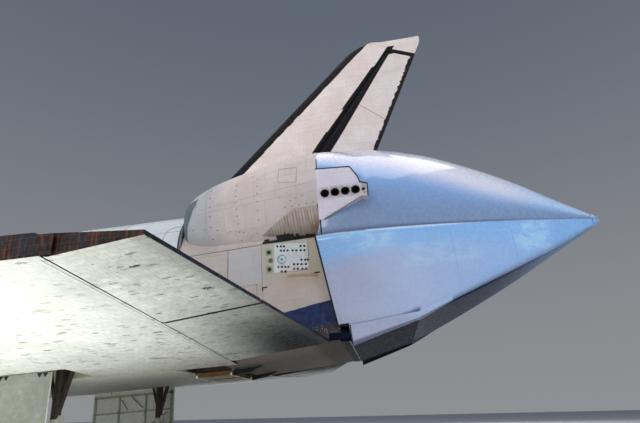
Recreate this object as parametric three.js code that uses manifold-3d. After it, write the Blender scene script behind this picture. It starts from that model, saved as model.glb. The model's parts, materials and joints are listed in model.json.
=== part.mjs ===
// Space shuttle orbiter on its landing gear, with the fairing that closes its tail for a ferry flight.
// It is built at half size. Every length below is in inches of the full-size vehicle, in its own station
// system: x runs aft (the nose tip is at station 236), y runs to starboard and z runs up.
// One inch is IN millimetres here.
import * as THREE from "three";
import { mergeVertices } from "three/addons/utils/BufferGeometryUtils.js";
import Module from "manifold-3d";

const wasm = await Module();
wasm.setup();

const SCALE = 0.5;
const IN = 25.4 * SCALE;
const SEAM = 0.03; // gap between pieces that touch
const NOSE_DOWN = THREE.MathUtils.degToRad(3.4); // how the vehicle stands on its gear
const PORT = -1;
const STARBOARD = 1;

// Driving stations and widths
const NOSE_CAP_END = 268;
const CABIN_END = 582;
const BAY_END = 1307;
const AFT_END = 1517;
const BODY_HALF_WIDTH = 106;
const SILL_Z = 418.2;
const CONE_TIP_X = 1899;
const CONE_TIP_Z = 431.5;
const ELEVON_HINGE_X = 1387;
const MAIN_AXLE = { x: 1178, y: 136 };
const NOSE_AXLE_X = 378;
const MAIN_TYRE_R = 22.4;
const NOSE_TYRE_R = 16;
const TYRE_SIDES = 24;
const GROUND_UNDER_MAIN_AXLE = 170;

// Height of the ground line, in the vehicle's own z, below a station. Each tyre stands on one of its flats.
const groundZ = (x) => GROUND_UNDER_MAIN_AXLE + (MAIN_AXLE.x - x) * Math.tan(NOSE_DOWN);
const axleZ = (x, radius) => groundZ(x) + (radius * Math.cos(Math.PI / TYRE_SIDES)) / Math.cos(NOSE_DOWN);

// A value from a table of rows, by straight lines between them. Column 0 is the station.
function lookUp(rows, station, column) {
  const last = rows.length - 1;
  let i = 0;
  while (i < last - 1 && rows[i + 1][0] < station) i += 1;
  const [a, b] = [rows[i], rows[i + 1]];
  const share = Math.min(1, Math.max(0, (station - a[0]) / (b[0] - a[0])));
  return a[column] + (b[column] - a[column]) * share;
}

// Solids

function solidOf(geometry) {
  const bare = geometry.index ? geometry.toNonIndexed() : geometry.clone();
  for (const name of Object.keys(bare.attributes)) {
    if (name !== "position") bare.deleteAttribute(name);
  }
  const merged = mergeVertices(bare, 1e-4);
  return new wasm.Manifold(
    new wasm.Mesh({
      numProp: 3,
      vertProperties: merged.attributes.position.array,
      triVerts: new Uint32Array(merged.index.array),
    }),
  );
}

function geometryOf(solid) {
  const mesh = solid.getMesh();
  const geometry = new THREE.BufferGeometry();
  const position = new Float32Array(mesh.numVert * 3);
  for (let i = 0; i < mesh.numVert; i += 1) {
    for (let k = 0; k < 3; k += 1) position[i * 3 + k] = mesh.vertProperties[i * mesh.numProp + k];
  }
  geometry.setAttribute("position", new THREE.BufferAttribute(position, 3));
  geometry.setIndex(new THREE.BufferAttribute(new Uint32Array(mesh.triVerts), 1));
  return geometry;
}

const join = (...solids) => solids.reduce((a, b) => a.add(b));
const cut = (solid, ...tools) => tools.reduce((a, b) => a.subtract(b), solid);

// A closed body through rings of points, each ring with the same number of points.
function loft(rings) {
  const count = rings[0].length;
  const triangles = [];
  const push = (...points) => points.forEach((p) => triangles.push(...p));
  rings.slice(1).forEach((ring, r) => {
    const before = rings[r];
    for (let i = 0; i < count; i += 1) {
      const j = (i + 1) % count;
      push(before[i], before[j], ring[j]);
      push(before[i], ring[j], ring[i]);
    }
  });
  const cap = (ring, turned) => {
    const span = [0, 1, 2].map((k) => {
      const values = ring.map((p) => p[k]);
      return Math.max(...values) - Math.min(...values);
    });
    const flat = [0, 1, 2].filter((k) => k !== span.indexOf(Math.min(...span)));
    const outline = ring.map((p) => new THREE.Vector2(p[flat[0]], p[flat[1]]));
    const clockwise = THREE.ShapeUtils.isClockWise(outline);
    const ordered = clockwise ? [...ring].reverse() : ring;
    const faces = THREE.ShapeUtils.triangulateShape(clockwise ? [...outline].reverse() : outline, []);
    faces.forEach(([a, b, c]) => {
      if (turned !== clockwise) push(ordered[a], ordered[c], ordered[b]);
      else push(ordered[a], ordered[b], ordered[c]);
    });
  };
  cap(rings[0], true);
  cap(rings[rings.length - 1], false);
  const build = (list) =>
    solidOf(new THREE.BufferGeometry().setAttribute("position", new THREE.Float32BufferAttribute(list, 3)));
  const solid = build(triangles);
  if (solid.volume() > 0) return solid;
  const reversed = [];
  for (let i = 0; i < triangles.length; i += 9) {
    const [a, b, c] = [0, 3, 6].map((k) => triangles.slice(i + k, i + k + 3));
    reversed.push(...a, ...c, ...b);
  }
  return build(reversed);
}

function box(x0, x1, y0, y1, z0, z1) {
  const geometry = new THREE.BoxGeometry(x1 - x0, Math.abs(y1 - y0), z1 - z0);
  geometry.translate((x0 + x1) / 2, (y0 + y1) / 2, (z0 + z1) / 2);
  return solidOf(geometry);
}

// A round bar or cone from point a to point b.
function rod(a, b, radiusA, radiusB = radiusA, sides = 12) {
  const [from, to] = [new THREE.Vector3(...a), new THREE.Vector3(...b)];
  const along = to.clone().sub(from);
  const geometry = new THREE.CylinderGeometry(radiusB, radiusA, along.length(), sides);
  const upright = new THREE.Vector3(0, 1, 0);
  geometry.applyQuaternion(new THREE.Quaternion().setFromUnitVectors(upright, along.clone().normalize()));
  geometry.translate(...from.add(to).multiplyScalar(0.5).toArray());
  return solidOf(geometry);
}

// A side-view outline of [x, z] points, given width from y0 to y1.
function sidePrism(outline, y0, y1) {
  const shape = new THREE.Shape(outline.map(([x, z]) => new THREE.Vector2(x, z)));
  const geometry = new THREE.ExtrudeGeometry(shape, { depth: Math.abs(y1 - y0), bevelEnabled: false });
  geometry.rotateX(Math.PI / 2);
  geometry.translate(0, Math.max(y0, y1), 0);
  return solidOf(geometry);
}

// A plan-view outline of [x, y] points, given height from z0 to z1.
function planPrism(outline, z0, z1) {
  const shape = new THREE.Shape(outline.map(([x, y]) => new THREE.Vector2(x, y)));
  const geometry = new THREE.ExtrudeGeometry(shape, { depth: z1 - z0, bevelEnabled: false });
  geometry.translate(0, 0, z0);
  return solidOf(geometry);
}

// A front-view outline of [y, z] points, given length from x0 to x1.
function frontPrism(outline, x0, x1) {
  return loft([x0, x1].map((x) => outline.map(([y, z]) => [x, y, z])));
}

// Fuselage: station, bottom z, shoulder z, top z, half width, bottom corner radius
const BODY = [
  [236.4, 335.5, 338, 341.5, 3, 2],
  [239, 325, 338, 351, 15, 9],
  [247, 314.5, 339, 361.5, 27, 16],
  [258, 306, 340, 370.5, 37, 21],
  [268, 301, 341, 376.5, 43.5, 24],
  [290, 294.5, 343, 387, 53.5, 28],
  [325, 288.5, 349, 401.5, 66, 30],
  [365, 283.5, 357, 417, 78, 28],
  [404, 279.5, 366, 432, 87.5, 24],
  [416, 278.5, 369, 440, 90, 22],
  [436, 276.8, 376, 463, 93, 20],
  [453, 275.6, 382, 481, 95.5, 18],
  [468, 274.7, 387, 491, 97.5, 17],
  [492, 272.4, 394, 499, 100, 15],
  [530, 270.2, 403, 503.8, 103, 13],
  [582, 268, 412, 506, 106, 11],
];
const CORNER_STEPS = 3;
const CROWN_STEPS = 9;

// A body cross-section: flat floor, round lower corners, straight sides, and a quarter ellipse up each side.
function bodyRing([x, bottom, shoulder, top, halfWidth, corner], grow = 0) {
  const w = halfWidth + grow;
  const [zb, zt] = [bottom - grow, top + grow];
  const half = [];
  for (let i = 0; i <= CORNER_STEPS; i += 1) {
    const a = (i / CORNER_STEPS) * (Math.PI / 2);
    half.push([w - corner + corner * Math.sin(a), zb + corner - corner * Math.cos(a)]);
  }
  for (let i = 0; i < CROWN_STEPS; i += 1) {
    const a = (i / CROWN_STEPS) * (Math.PI / 2);
    half.push([w * Math.cos(a), shoulder + (zt - shoulder) * Math.sin(a)]);
  }
  return [
    ...half.map(([y, z]) => [x, y, z]),
    [x, 0, zt],
    ...[...half].reverse().map(([y, z]) => [x, -y, z]),
  ];
}

const bodyRow = (x) => [x, ...[1, 2, 3, 4, 5].map((column) => lookUp(BODY, x, column))];

function bodyLoft(from, to, grow = 0) {
  const between = BODY.filter(([x]) => x > from + 1 && x < to - 1);
  return loft([bodyRow(from), ...between, bodyRow(to)].map((row) => bodyRing(row, grow)));
}

// Crew cabin: hollow, with six windshield panes and two overhead windows cut.
const CABIN_WALL = 5;
const CABIN = { x0: 410, x1: 573, floor: 335 };
const EYE = [485, 0, 455];
const PANES = [
  [3, 26],
  [30, 55],
  [59, 83],
]; // from, to: degrees round from straight ahead
const PANE_LOW = -7;
const PANE_HIGH = 25;
const GLASS = 1.4;
const ROOF_WINDOW = { x0: 500, x1: 522, y0: 9, y1: 33 };
const HATCH = { x: 512, z: 366, r: 20 };

function windowTool(side, [from, to]) {
  const corner = (round, up, reach) => {
    const [a, e] = [round, up].map(THREE.MathUtils.degToRad);
    return [
      EYE[0] - reach * Math.cos(a) * Math.cos(e),
      side * reach * Math.sin(a) * Math.cos(e),
      EYE[2] + reach * Math.sin(e),
    ];
  };
  const ring = (reach) => [
    corner(from, PANE_LOW, reach),
    corner(to, PANE_LOW, reach),
    corner(to, PANE_HIGH, reach),
    corner(from, PANE_HIGH, reach),
  ];
  return loft([ring(18), ring(125)]);
}

const NOSE_WELL = { x0: 304, x1: 400, halfWidth: 27.5, roof: 336 };

function forwardFuselage() {
  const shell = bodyLoft(NOSE_CAP_END, CABIN_END);
  const room = bodyLoft(CABIN.x0, CABIN.x1, -CABIN_WALL).intersect(
    box(CABIN.x0, CABIN.x1, -120, 120, CABIN.floor, 520),
  );
  const panes = [PORT, STARBOARD].flatMap((side) => PANES.map((pane) => windowTool(side, pane)));
  const roofWindows = [PORT, STARBOARD].map((side) =>
    box(ROOF_WINDOW.x0, ROOF_WINDOW.x1, side * ROOF_WINDOW.y0, side * ROOF_WINDOW.y1, 470, 520),
  );
  const hatchWay = rod([HATCH.x, -60, HATCH.z], [HATCH.x, -120, HATCH.z], HATCH.r, HATCH.r, 24);
  const { x0, x1, halfWidth, roof } = NOSE_WELL;
  const well = box(x0, x1, -halfWidth, halfWidth, 250, roof);
  return cut(shell, room, ...panes, ...roofWindows, hatchWay, well);
}

function cabinGlass(band) {
  const outer = bodyLoft(CABIN.x0 + SEAM, CABIN.x1, -CABIN_WALL - SEAM);
  const inner = bodyLoft(CABIN.x0 - 5, CABIN.x1 + 5, -CABIN_WALL - SEAM - GLASS);
  return cut(outer, inner).intersect(band);
}

// Flight deck: floor, instrument panel under the windshield and two seats on one piece.
function flightDeck() {
  const floorZ = 414;
  const seat = (side) =>
    join(
      box(468, 488, side * 16, side * 36, floorZ - 1, 428),
      box(486, 492, side * 16, side * 36, floorZ - 1, 456),
    );
  const deck = join(
    box(424, 568, -110, 110, floorZ - 4, floorZ),
    box(436, 446, -52, 52, floorZ - 1, 441),
    box(455, 496, -7, 7, floorZ - 1, 426),
    seat(PORT),
    seat(STARBOARD),
  );
  return deck.intersect(bodyLoft(CABIN.x0 + 1, CABIN.x1 - SEAM, -CABIN_WALL - SEAM));
}

// The side hatch: a round plug in the port wall. It swings down about a hinge at its lower edge.
const HATCH_HINGE = { y: -107.6, z: HATCH.z - HATCH.r - 1.2 };
const HATCH_TAPER = 0.34; // the plug narrows inwards so that its top clears the hole as it swings

function crewHatch() {
  const skinY = -101.8;
  const radiusAt = (y) => HATCH.r - 0.5 - (y - skinY) * HATCH_TAPER;
  const [inner, outer] = [-80, skinY - 4];
  const [from, to] = [inner, outer].map((y) => [HATCH.x, y, HATCH.z]);
  const plug = rod(from, to, radiusAt(inner), radiusAt(skinY), 24);
  const inside = bodyLoft(CABIN.x0 - 5, CABIN.x1 + 9, -CABIN_WALL + 0.3);
  const wall = cut(bodyLoft(CABIN.x0, CABIN.x1 + 5), inside);
  const hingeAt = (x) => [x, HATCH_HINGE.y, HATCH_HINGE.z];
  const pin = (x) => rod(hingeAt(x - 3), hingeAt(x + 3), 0.9, 0.9, 8);
  const arm = (x) =>
    join(
      box(x - 1.5, x + 1.5, HATCH_HINGE.y - 0.8, -102.6, HATCH_HINGE.z, HATCH_HINGE.z + 7),
      box(x - 1.5, x + 1.5, -103, -99, HATCH_HINGE.z + 3.6, HATCH_HINGE.z + 7),
    );
  return join(plug.intersect(wall), arm(HATCH.x - 6), arm(HATCH.x + 6), pin(HATCH.x - 6), pin(HATCH.x + 6));
}

// Lugs on the fuselage side that hold the hatch's pins.
function hatchLugs() {
  return [-10.6, 0, 10.6].map((dx) => {
    const half = dx === 0 ? 6 - 3 - SEAM : 1.6 - SEAM;
    return box(
      HATCH.x + dx - half,
      HATCH.x + dx + half,
      HATCH_HINGE.y - 1.2,
      -98,
      HATCH_HINGE.z - 1.6,
      HATCH_HINGE.z + 0.9,
    );
  });
}

// Payload bay: an open trough with a round floor, closed by two doors.
const BAY_RADIUS = 93;
const BAY_CENTRE_Z = 400;
const BELLY_Z = 268;
const DOOR_THICK = 5;
const DOOR_EDGE_Z = 420.5;
const DOOR_CROWN_Z = 506;
const DOOR_HINGE = { y: 106.7, z: 419.6, r: 0.85 };
const DOOR_LUGS = [600, 770, 940, 1110, 1285];
const LUG_HALF = 3;
const DOOR_STEPS = 14;
const BAY_STEPS = 16;

function midFuselage() {
  const floor = Array.from({ length: BAY_STEPS + 1 }, (_, i) => {
    const a = (i / BAY_STEPS) * Math.PI;
    return [BAY_RADIUS * Math.cos(a), BAY_CENTRE_Z - BAY_RADIUS * Math.sin(a)];
  });
  const bayOutline = [[BAY_RADIUS, DOOR_CROWN_Z], ...floor, [-BAY_RADIUS, DOOR_CROWN_Z]];
  const bay = frontPrism(bayOutline, CABIN_END, BAY_END);
  const above = box(CABIN_END, BAY_END, -130, 130, SILL_Z, DOOR_CROWN_Z + 10);
  const trough = cut(bodyLoft(CABIN_END + SEAM, BAY_END - SEAM), above, bay);
  const lugs = DOOR_LUGS.flatMap((x) =>
    [PORT, STARBOARD].map((side) =>
      box(
        x - LUG_HALF,
        x + LUG_HALF,
        side * 104,
        side * (DOOR_HINGE.y + 0.5),
        SILL_Z - 3,
        DOOR_HINGE.z + 0.6,
      ),
    ),
  );
  return join(trough, ...lugs);
}

// A door is a quarter of the crown. Its hinge tube lies along the sill, between the lugs.
function payloadDoor(side) {
  const arc = (inset) =>
    Array.from({ length: DOOR_STEPS + 1 }, (_, i) => {
      const a = (i / DOOR_STEPS) * (Math.PI / 2);
      const y = (BODY_HALF_WIDTH - inset) * Math.cos(a);
      return [side * Math.max(0.35, y), DOOR_EDGE_Z + (DOOR_CROWN_Z - inset - DOOR_EDGE_Z) * Math.sin(a)];
    });
  const [x0, x1] = [CABIN_END + 0.6, BAY_END - 0.6];
  const panel = frontPrism([...arc(0), ...arc(DOOR_THICK).reverse()], x0, x1);
  const stops = [x0, ...DOOR_LUGS, x1];
  const tubes = stops.slice(1).map((x, i) => {
    const from = i === 0 ? x0 + 2 : stops[i] + LUG_HALF + SEAM;
    const to = i === stops.length - 2 ? x1 - 2 : x - LUG_HALF - SEAM;
    const y = side * DOOR_HINGE.y;
    const tube = rod([from, y, DOOR_HINGE.z], [to, y, DOOR_HINGE.z], DOOR_HINGE.r, DOOR_HINGE.r, 8);
    const web = box(from, to, side * 104.5, side * (DOOR_HINGE.y + 0.4), DOOR_HINGE.z, DOOR_EDGE_Z + 1.5);
    return join(tube, web);
  });
  return join(panel, ...tubes);
}

// Aft fuselage: station, bottom z, half width, top z of the upright side, deck half width, deck z, crown z
const AFT = [
  [BAY_END, 268, 106, 420, 66, 494, 505],
  [1387, 270.5, 110, 420, 70, 498, 510],
  [1460, 275, 115, 420, 74, 500, 514],
  [AFT_END, 280, 119, 420, 76, 502, 516],
];
const AFT_CORNER = 7;

function aftLoft(grow = 0, from = BAY_END, to = AFT_END) {
  const rows = [from, ...AFT.map(([x]) => x).filter((x) => x > from + 1 && x < to - 1), to + grow];
  return loft(
    rows.map((x) => {
      const row = [1, 2, 3, 4, 5, 6].map((column) => lookUp(AFT, x, column));
      const [bottom, half, side, deckHalf, deck, crown] = row;
      const w = half + grow;
      const ring = [
        [w - AFT_CORNER, bottom - grow],
        [w - AFT_CORNER * 0.3, bottom - grow + AFT_CORNER * 0.3],
        [w, bottom - grow + AFT_CORNER],
        [w, side],
        [deckHalf + grow, deck + grow],
        [30, crown - 2 + grow],
      ];
      return [
        ...ring.map(([y, z]) => [x, y, z]),
        [x, 0, crown + grow],
        ...[...ring].reverse().map(([y, z]) => [x, -y, z]),
      ];
    }),
  );
}

// Doors over the two openings in the belly for the tank's feed lines, and their wells
const FEED_DOOR = { x0: 1312, x1: 1362, inner: 48, outer: 90, thick: 4, axisY: 47, axisZ: 266.9, r: 0.85 };
const FEED_WELL_DEPTH = 22;
const feedLug = (x0, x1, side) =>
  box(x0, x1, side * (FEED_DOOR.axisY - 2), side * (FEED_DOOR.axisY + 1), FEED_DOOR.axisZ - 0.9, BELLY_Z + 4);

// The round pads on the belly for the aft struts, and the plates on the sides for ground services
const STRUT_PAD = { x: 1317, y: 96.5, r: 3.4, proud: 0.6 };
const SERVICE_PLATE = { x0: 1427, x1: 1485, z0: 373, z1: 413, proud: 0.8 };

function strutPad(side, grow = 0) {
  const [low, high] = [BELLY_Z - STRUT_PAD.proud, BELLY_Z + 2].map((z) => [STRUT_PAD.x, side * STRUT_PAD.y, z]);
  return rod(low, high, STRUT_PAD.r + grow, STRUT_PAD.r + grow, 24);
}

function servicePlate(side) {
  const { x0, x1, z0, z1, proud } = SERVICE_PLATE;
  const at = (x, outwards) => [x, side * (lookUp(AFT, x, 2) + outwards)];
  return planPrism([at(x0, -2), at(x1, -2), at(x1, proud), at(x0, proud)], z0, z1);
}

// Body flap, hinged below the tail. It is built raised, as it stands.
const FLAP = { hingeX: 1532, hingeZ: 286, r: 7.6, chord: 81, halfWidth: 117, tailZ: 300.1, tail: 1.2 };
const FLAP_LUG = { inner: 118, outer: 120.6 };

function aftFuselage() {
  const wells = [PORT, STARBOARD].map((side) =>
    box(
      FEED_DOOR.x0 - 0.5,
      FEED_DOOR.x1 + 0.5,
      side * (FEED_DOOR.axisY - 1),
      side * (FEED_DOOR.outer + 0.5),
      BELLY_Z - 9,
      BELLY_Z + FEED_WELL_DEPTH,
    ),
  );
  const lugs = [PORT, STARBOARD].flatMap((side) => [
    feedLug(FEED_DOOR.x0 - 3, FEED_DOOR.x0 - SEAM, side),
    feedLug(FEED_DOOR.x1 + SEAM, FEED_DOOR.x1 + 3, side),
    box(
      AFT_END - 14,
      FLAP.hingeX + 4,
      side * FLAP_LUG.inner,
      side * FLAP_LUG.outer,
      FLAP.hingeZ - 4,
      FLAP.hingeZ + 4,
    ),
    box(AFT_END - 14, AFT_END - 2, side * 110, side * FLAP_LUG.outer, FLAP.hingeZ - 4, FLAP.hingeZ + 4),
    strutPad(side),
    servicePlate(side),
  ]);
  return join(cut(aftLoft(0, BAY_END + SEAM), ...wells), ...lugs);
}

function feedDoor(side) {
  // Built open: it lies below the belly, turned over towards the keel.
  const mirrorY = (y) => side * (2 * FEED_DOOR.axisY - y);
  const top = 2 * FEED_DOOR.axisZ - BELLY_Z - 0.2;
  const plate = box(
    FEED_DOOR.x0,
    FEED_DOOR.x1,
    mirrorY(FEED_DOOR.inner),
    mirrorY(FEED_DOOR.outer),
    top - FEED_DOOR.thick,
    top,
  );
  const [y, z] = [side * FEED_DOOR.axisY, FEED_DOOR.axisZ];
  const tube = rod([FEED_DOOR.x0, y, z], [FEED_DOOR.x1, y, z], FEED_DOOR.r, FEED_DOOR.r, 8);
  const web = box(FEED_DOOR.x0, FEED_DOOR.x1, y, mirrorY(FEED_DOOR.inner + 2), top - 1, z + 0.4);
  return join(plate, tube, web);
}

function bodyFlap() {
  const arc = Array.from({ length: 9 }, (_, i) => {
    const a = Math.PI * (0.5 + i / 8);
    return [FLAP.hingeX + FLAP.r * Math.cos(a), FLAP.hingeZ + FLAP.r * Math.sin(a)];
  });
  const tailX = FLAP.hingeX + FLAP.chord * 0.985;
  const outline = [...arc, [tailX, FLAP.tailZ - FLAP.tail], [tailX, FLAP.tailZ + FLAP.tail]];
  const pin = (side) =>
    rod(
      [FLAP.hingeX, side * (FLAP.halfWidth - 1), FLAP.hingeZ],
      [FLAP.hingeX, side * (FLAP_LUG.inner - SEAM), FLAP.hingeZ],
      2.2,
      2.2,
      12,
    );
  return join(sidePrism(outline, -FLAP.halfWidth, FLAP.halfWidth), pin(PORT), pin(STARBOARD));
}

// Wing: spanwise y, leading edge x, greatest thickness
const WING = [
  [96, 470, 52],
  [112, 556, 50],
  [124, 640, 49],
  [140, 748, 47.5],
  [158, 850, 45.5],
  [178, 938, 43],
  [200, 1006, 40.5],
  [228, 1062, 37.5],
  [262, 1098, 34],
  [312.5, 1148.5, 29],
  [380, 1216, 22.5],
  [440, 1277, 19.5],
  [460, 1302, 17],
  [468, 1324, 15],
];
const WING_ROOT_Y = WING[0][0];
const DIHEDRAL = 0.0618; // rise of the flat lower surface per inch of span
const HINGE_THICK = { root: 24.6, taper: 0.0286 }; // thickness at the elevon hinge, loss per inch of span
const wingAt = (y) => ({
  edge: lookUp(WING, y, 1),
  thick: lookUp(WING, y, 2),
  lower: BELLY_Z + (y - WING_ROOT_Y) * DIHEDRAL,
  hinge: HINGE_THICK.root - (y - WING_ROOT_Y) * HINGE_THICK.taper,
});
const hingeZ = (y) => wingAt(y).lower + wingAt(y).hinge / 2;
const COVE_GAP = 0.45;
const UPPER_LIP = 6.5;
const LOWER_LIP = 3;
const CREST = 0.42;
const NOSE_SHARE = 0.1; // share of the chord over which the leading edge rounds down to the flat bottom

// An aerofoil section from the leading edge to the hinge, as a ring of [x, y, z].
function wingRing(y, side) {
  const { edge, lower, thick, hinge } = wingAt(y);
  const chord = ELEVON_HINGE_X - edge;
  const lift = thick * 0.34;
  const upperZ = (v) => {
    if (v < CREST) return lower + lift + (thick - lift) * Math.sqrt(1 - (1 - v / CREST) ** 2);
    return lower + thick - (thick - hinge) * ((v - CREST) / (1 - CREST)) ** 2;
  };
  const lowerZ = (v) => {
    if (v >= NOSE_SHARE) return lower;
    return lower + lift - lift * Math.sqrt(1 - (1 - v / NOSE_SHARE) ** 2);
  };
  const at = (v, z) => [edge + chord * v, side * y, z];
  const under = [0, 0.005, 0.02, 0.05, NOSE_SHARE, 0.5].map((v) => at(v, lowerZ(v)));
  const over = [0.86, 0.72, 0.57, CREST, 0.3, 0.2, 0.12, 0.06, 0.02, 0.006].map((v) => at(v, upperZ(v)));
  const tail = [
    [ELEVON_HINGE_X - LOWER_LIP, side * y, lower],
    [ELEVON_HINGE_X - UPPER_LIP, side * y, lower + hinge],
  ];
  return [...under, ...tail, ...over];
}

const MAIN_WELL = { x0: 1036, x1: 1206, inner: 111, outer: 171, roof: 303 };
const EDGE_ROOT_Y = 166; // where the separate leading-edge panels start
const EDGE_DEPTH = 20;
const TIP_Y = 468;

// Plan outline of the leading-edge panels: a band behind the leading edge from EDGE_ROOT_Y out.
function edgeBand(side, depth, root) {
  const stations = [root, ...WING.map(([y]) => y).filter((y) => y > root + 1)];
  const back = (y) => [Math.min(wingAt(y).edge + depth + (y > 450 ? (y - 450) * 0.4 : 0), 1386), side * y];
  const front = stations.map((y) => [wingAt(y).edge - 40, side * (y + (y >= TIP_Y ? 6 : 0))]);
  const rear = stations.map((y) => (y >= TIP_Y ? [back(y)[0], side * (y + 6)] : back(y)));
  return planPrism([...front, ...rear.reverse()], 240, 360);
}

const fullWing = (side) => loft(WING.map(([y]) => wingRing(y, side)));
const hullTool = join(bodyLoft(CABIN_END - 150, CABIN_END, SEAM), bodyLoft(CABIN_END, BAY_END + 1, SEAM));

const ELEVON_SPLIT = 312.5;
const ELEVON = { root: 122, split: ELEVON_SPLIT, tip: 465.5 };
const BRACKETS = [
  [ELEVON.root - 3.4, ELEVON.root - 1],
  [ELEVON_SPLIT - 0.7, ELEVON_SPLIT + 0.7],
]; // from, to: y
const hingePoint = (y, side) => [ELEVON_HINGE_X, side * y, hingeZ(y)];

function wing(side) {
  const rootTip = [ELEVON.root - 16, ELEVON.tip + 4];
  const cove = rod(
    hingePoint(rootTip[0], side),
    hingePoint(rootTip[1], side),
    wingAt(rootTip[0]).hinge / 2 + COVE_GAP,
    wingAt(rootTip[1]).hinge / 2 + COVE_GAP,
    28,
  );
  const well = box(
    MAIN_WELL.x0,
    MAIN_WELL.x1,
    side * MAIN_WELL.inner,
    side * MAIN_WELL.outer,
    BELLY_Z - 10,
    MAIN_WELL.roof,
  );
  const bracket = ([from, to]) => {
    const [y, z] = [(from + to) / 2, hingeZ((from + to) / 2)];
    const web = box(ELEVON_HINGE_X - 20, ELEVON_HINGE_X, side * (y - 0.4), side * (y + 0.4), z - 4, z + 4);
    return join(rod(hingePoint(from, side), hingePoint(to, side), 4, 4, 16), web);
  };
  const band = edgeBand(side, EDGE_DEPTH + SEAM, EDGE_ROOT_Y - SEAM);
  const blank = cut(fullWing(side), hullTool, aftLoft(SEAM), band, cove, well, strutPad(side, SEAM));
  return join(blank, ...BRACKETS.map(bracket));
}

const leadingEdge = (side) => fullWing(side).intersect(edgeBand(side, EDGE_DEPTH, EDGE_ROOT_Y));

// Elevon: a round nose about the hinge line and a wedge to the trailing edge.
const trailingX = (y) => 1525.2 - 0.1773 * y;
const trailingRise = (y) => 10 - (4 * (y - 115)) / 350;
const TRAILING_THICK = 3;

function elevonRing(y, side) {
  const { lower, hinge } = wingAt(y);
  const r = hinge / 2;
  const steps = 8;
  const nose = Array.from({ length: steps + 1 }, (_, i) => {
    const a = Math.PI * (0.5 + i / steps);
    return [ELEVON_HINGE_X + r * Math.cos(a), side * y, lower + r + r * Math.sin(a)];
  });
  const tail = lower + trailingRise(y);
  return [...nose, [trailingX(y), side * y, tail], [trailingX(y), side * y, tail + TRAILING_THICK]];
}

function elevon(side, from, to, pins) {
  const pin = ([a, b]) => rod(hingePoint(a, side), hingePoint(b, side), 2, 2, 10);
  return join(loft([from, to].map((y) => elevonRing(y, side))), ...pins.map(pin));
}

// Fin: z, half thickness at the rudder hinge
const FIN_ROOT_Z = 490;
const FIN_TOP_Z = 820;
const RUDDER_FOOT = { x: 1508, z: 598 };
const RUDDER_SWEEP = THREE.MathUtils.degToRad(34.83);
const RUDDER_LOW_Z = 591;
const RUDDER_HIGH_Z = 790;
const FIN_EDGE = { x: 1269, z: 503 }; // a point of the leading edge, which is swept 45 degrees
const finEdgeX = (z) => FIN_EDGE.x + (z - FIN_EDGE.z);
const finTailX = (z) => 1549.4 + (z - 503) * 0.4931;
const rudderHingeX = (z) => RUDDER_FOOT.x + (z - RUDDER_FOOT.z) * Math.tan(RUDDER_SWEEP);
const finFootZ = FIN_EDGE.z + (BAY_END + 26 - FIN_EDGE.x);
const finHalf = (z) => 14.5 - ((z - 500) / 320) * 9;
const TAIL_HALF = 1.7;
const HINGE_TUBE_R = 3.2;
const PIN_R = 1.6;
const BORE_GAP = 0.07;
const FIN_BASE_END = 1499.7;
const hingeLine = (z) => [rudderHingeX(z), 0, z];
const RUDDER_PINS = [RUDDER_LOW_Z - 9, RUDDER_HIGH_Z + 9]; // heights between which the rudder's pins run

function finRing(z, inset = 0) {
  const [front, rear, hinge] = [finEdgeX(z) + inset * 1.6, finTailX(z) - inset * 0.6, rudderHingeX(z)];
  const full = finHalf(z) * (1 - inset / 14);
  const half = [
    [front, 0],
    [front + 2.5, 1.6],
    [front + 9, 3.4],
    [front + (hinge - front) * 0.45, full * 0.72],
    [front + (hinge - front) * 0.8, full * 0.98],
    [hinge, full],
    [rear, TAIL_HALF],
  ];
  return [...half.map(([x, y]) => [x, y, z]), ...[...half.slice(1)].reverse().map(([x, y]) => [x, -y, z])];
}

// The rudder's side outline. Ahead of the hinge its ends are square to the hinge line, to clear the fin.
const RUDDER_TAIL_TOP_Z = 774;
const RUDDER_NOSE_TOP_Z = 784;
const rudderOutline = [
  [rudderHingeX(RUDDER_LOW_Z) - 30 * Math.cos(RUDDER_SWEEP), RUDDER_LOW_Z + 30 * Math.sin(RUDDER_SWEEP)],
  [rudderHingeX(RUDDER_LOW_Z), RUDDER_LOW_Z],
  [finTailX(RUDDER_LOW_Z) + 30, RUDDER_LOW_Z],
  [finTailX(RUDDER_TAIL_TOP_Z) + 30, RUDDER_TAIL_TOP_Z - 10],
  [rudderHingeX(RUDDER_HIGH_Z) + 9, RUDDER_HIGH_Z - 3.5],
  [rudderHingeX(RUDDER_NOSE_TOP_Z), RUDDER_NOSE_TOP_Z],
  [
    rudderHingeX(RUDDER_NOSE_TOP_Z) - 30 * Math.cos(RUDDER_SWEEP),
    RUDDER_NOSE_TOP_Z + 30 * Math.sin(RUDDER_SWEEP),
  ],
];
const RUDDER_GAP = 2;

// The space in the fin for the rudder. Its front stands off the hinge line by the rudder's nose radius.
function rudderBay() {
  const [low, high] = [RUDDER_LOW_Z - RUDDER_GAP, RUDDER_HIGH_Z + RUDDER_GAP];
  const front = (z) => rudderHingeX(z) - (finHalf(z) + COVE_GAP) / Math.cos(RUDDER_SWEEP);
  return sidePrism(
    [
      [front(low), low],
      [finTailX(low) + 40, low],
      [finTailX(RUDDER_TAIL_TOP_Z) + 40, RUDDER_TAIL_TOP_Z - 13 + RUDDER_GAP],
      [rudderHingeX(high), high],
      [front(high), high],
    ],
    -40,
    40,
  );
}

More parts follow.
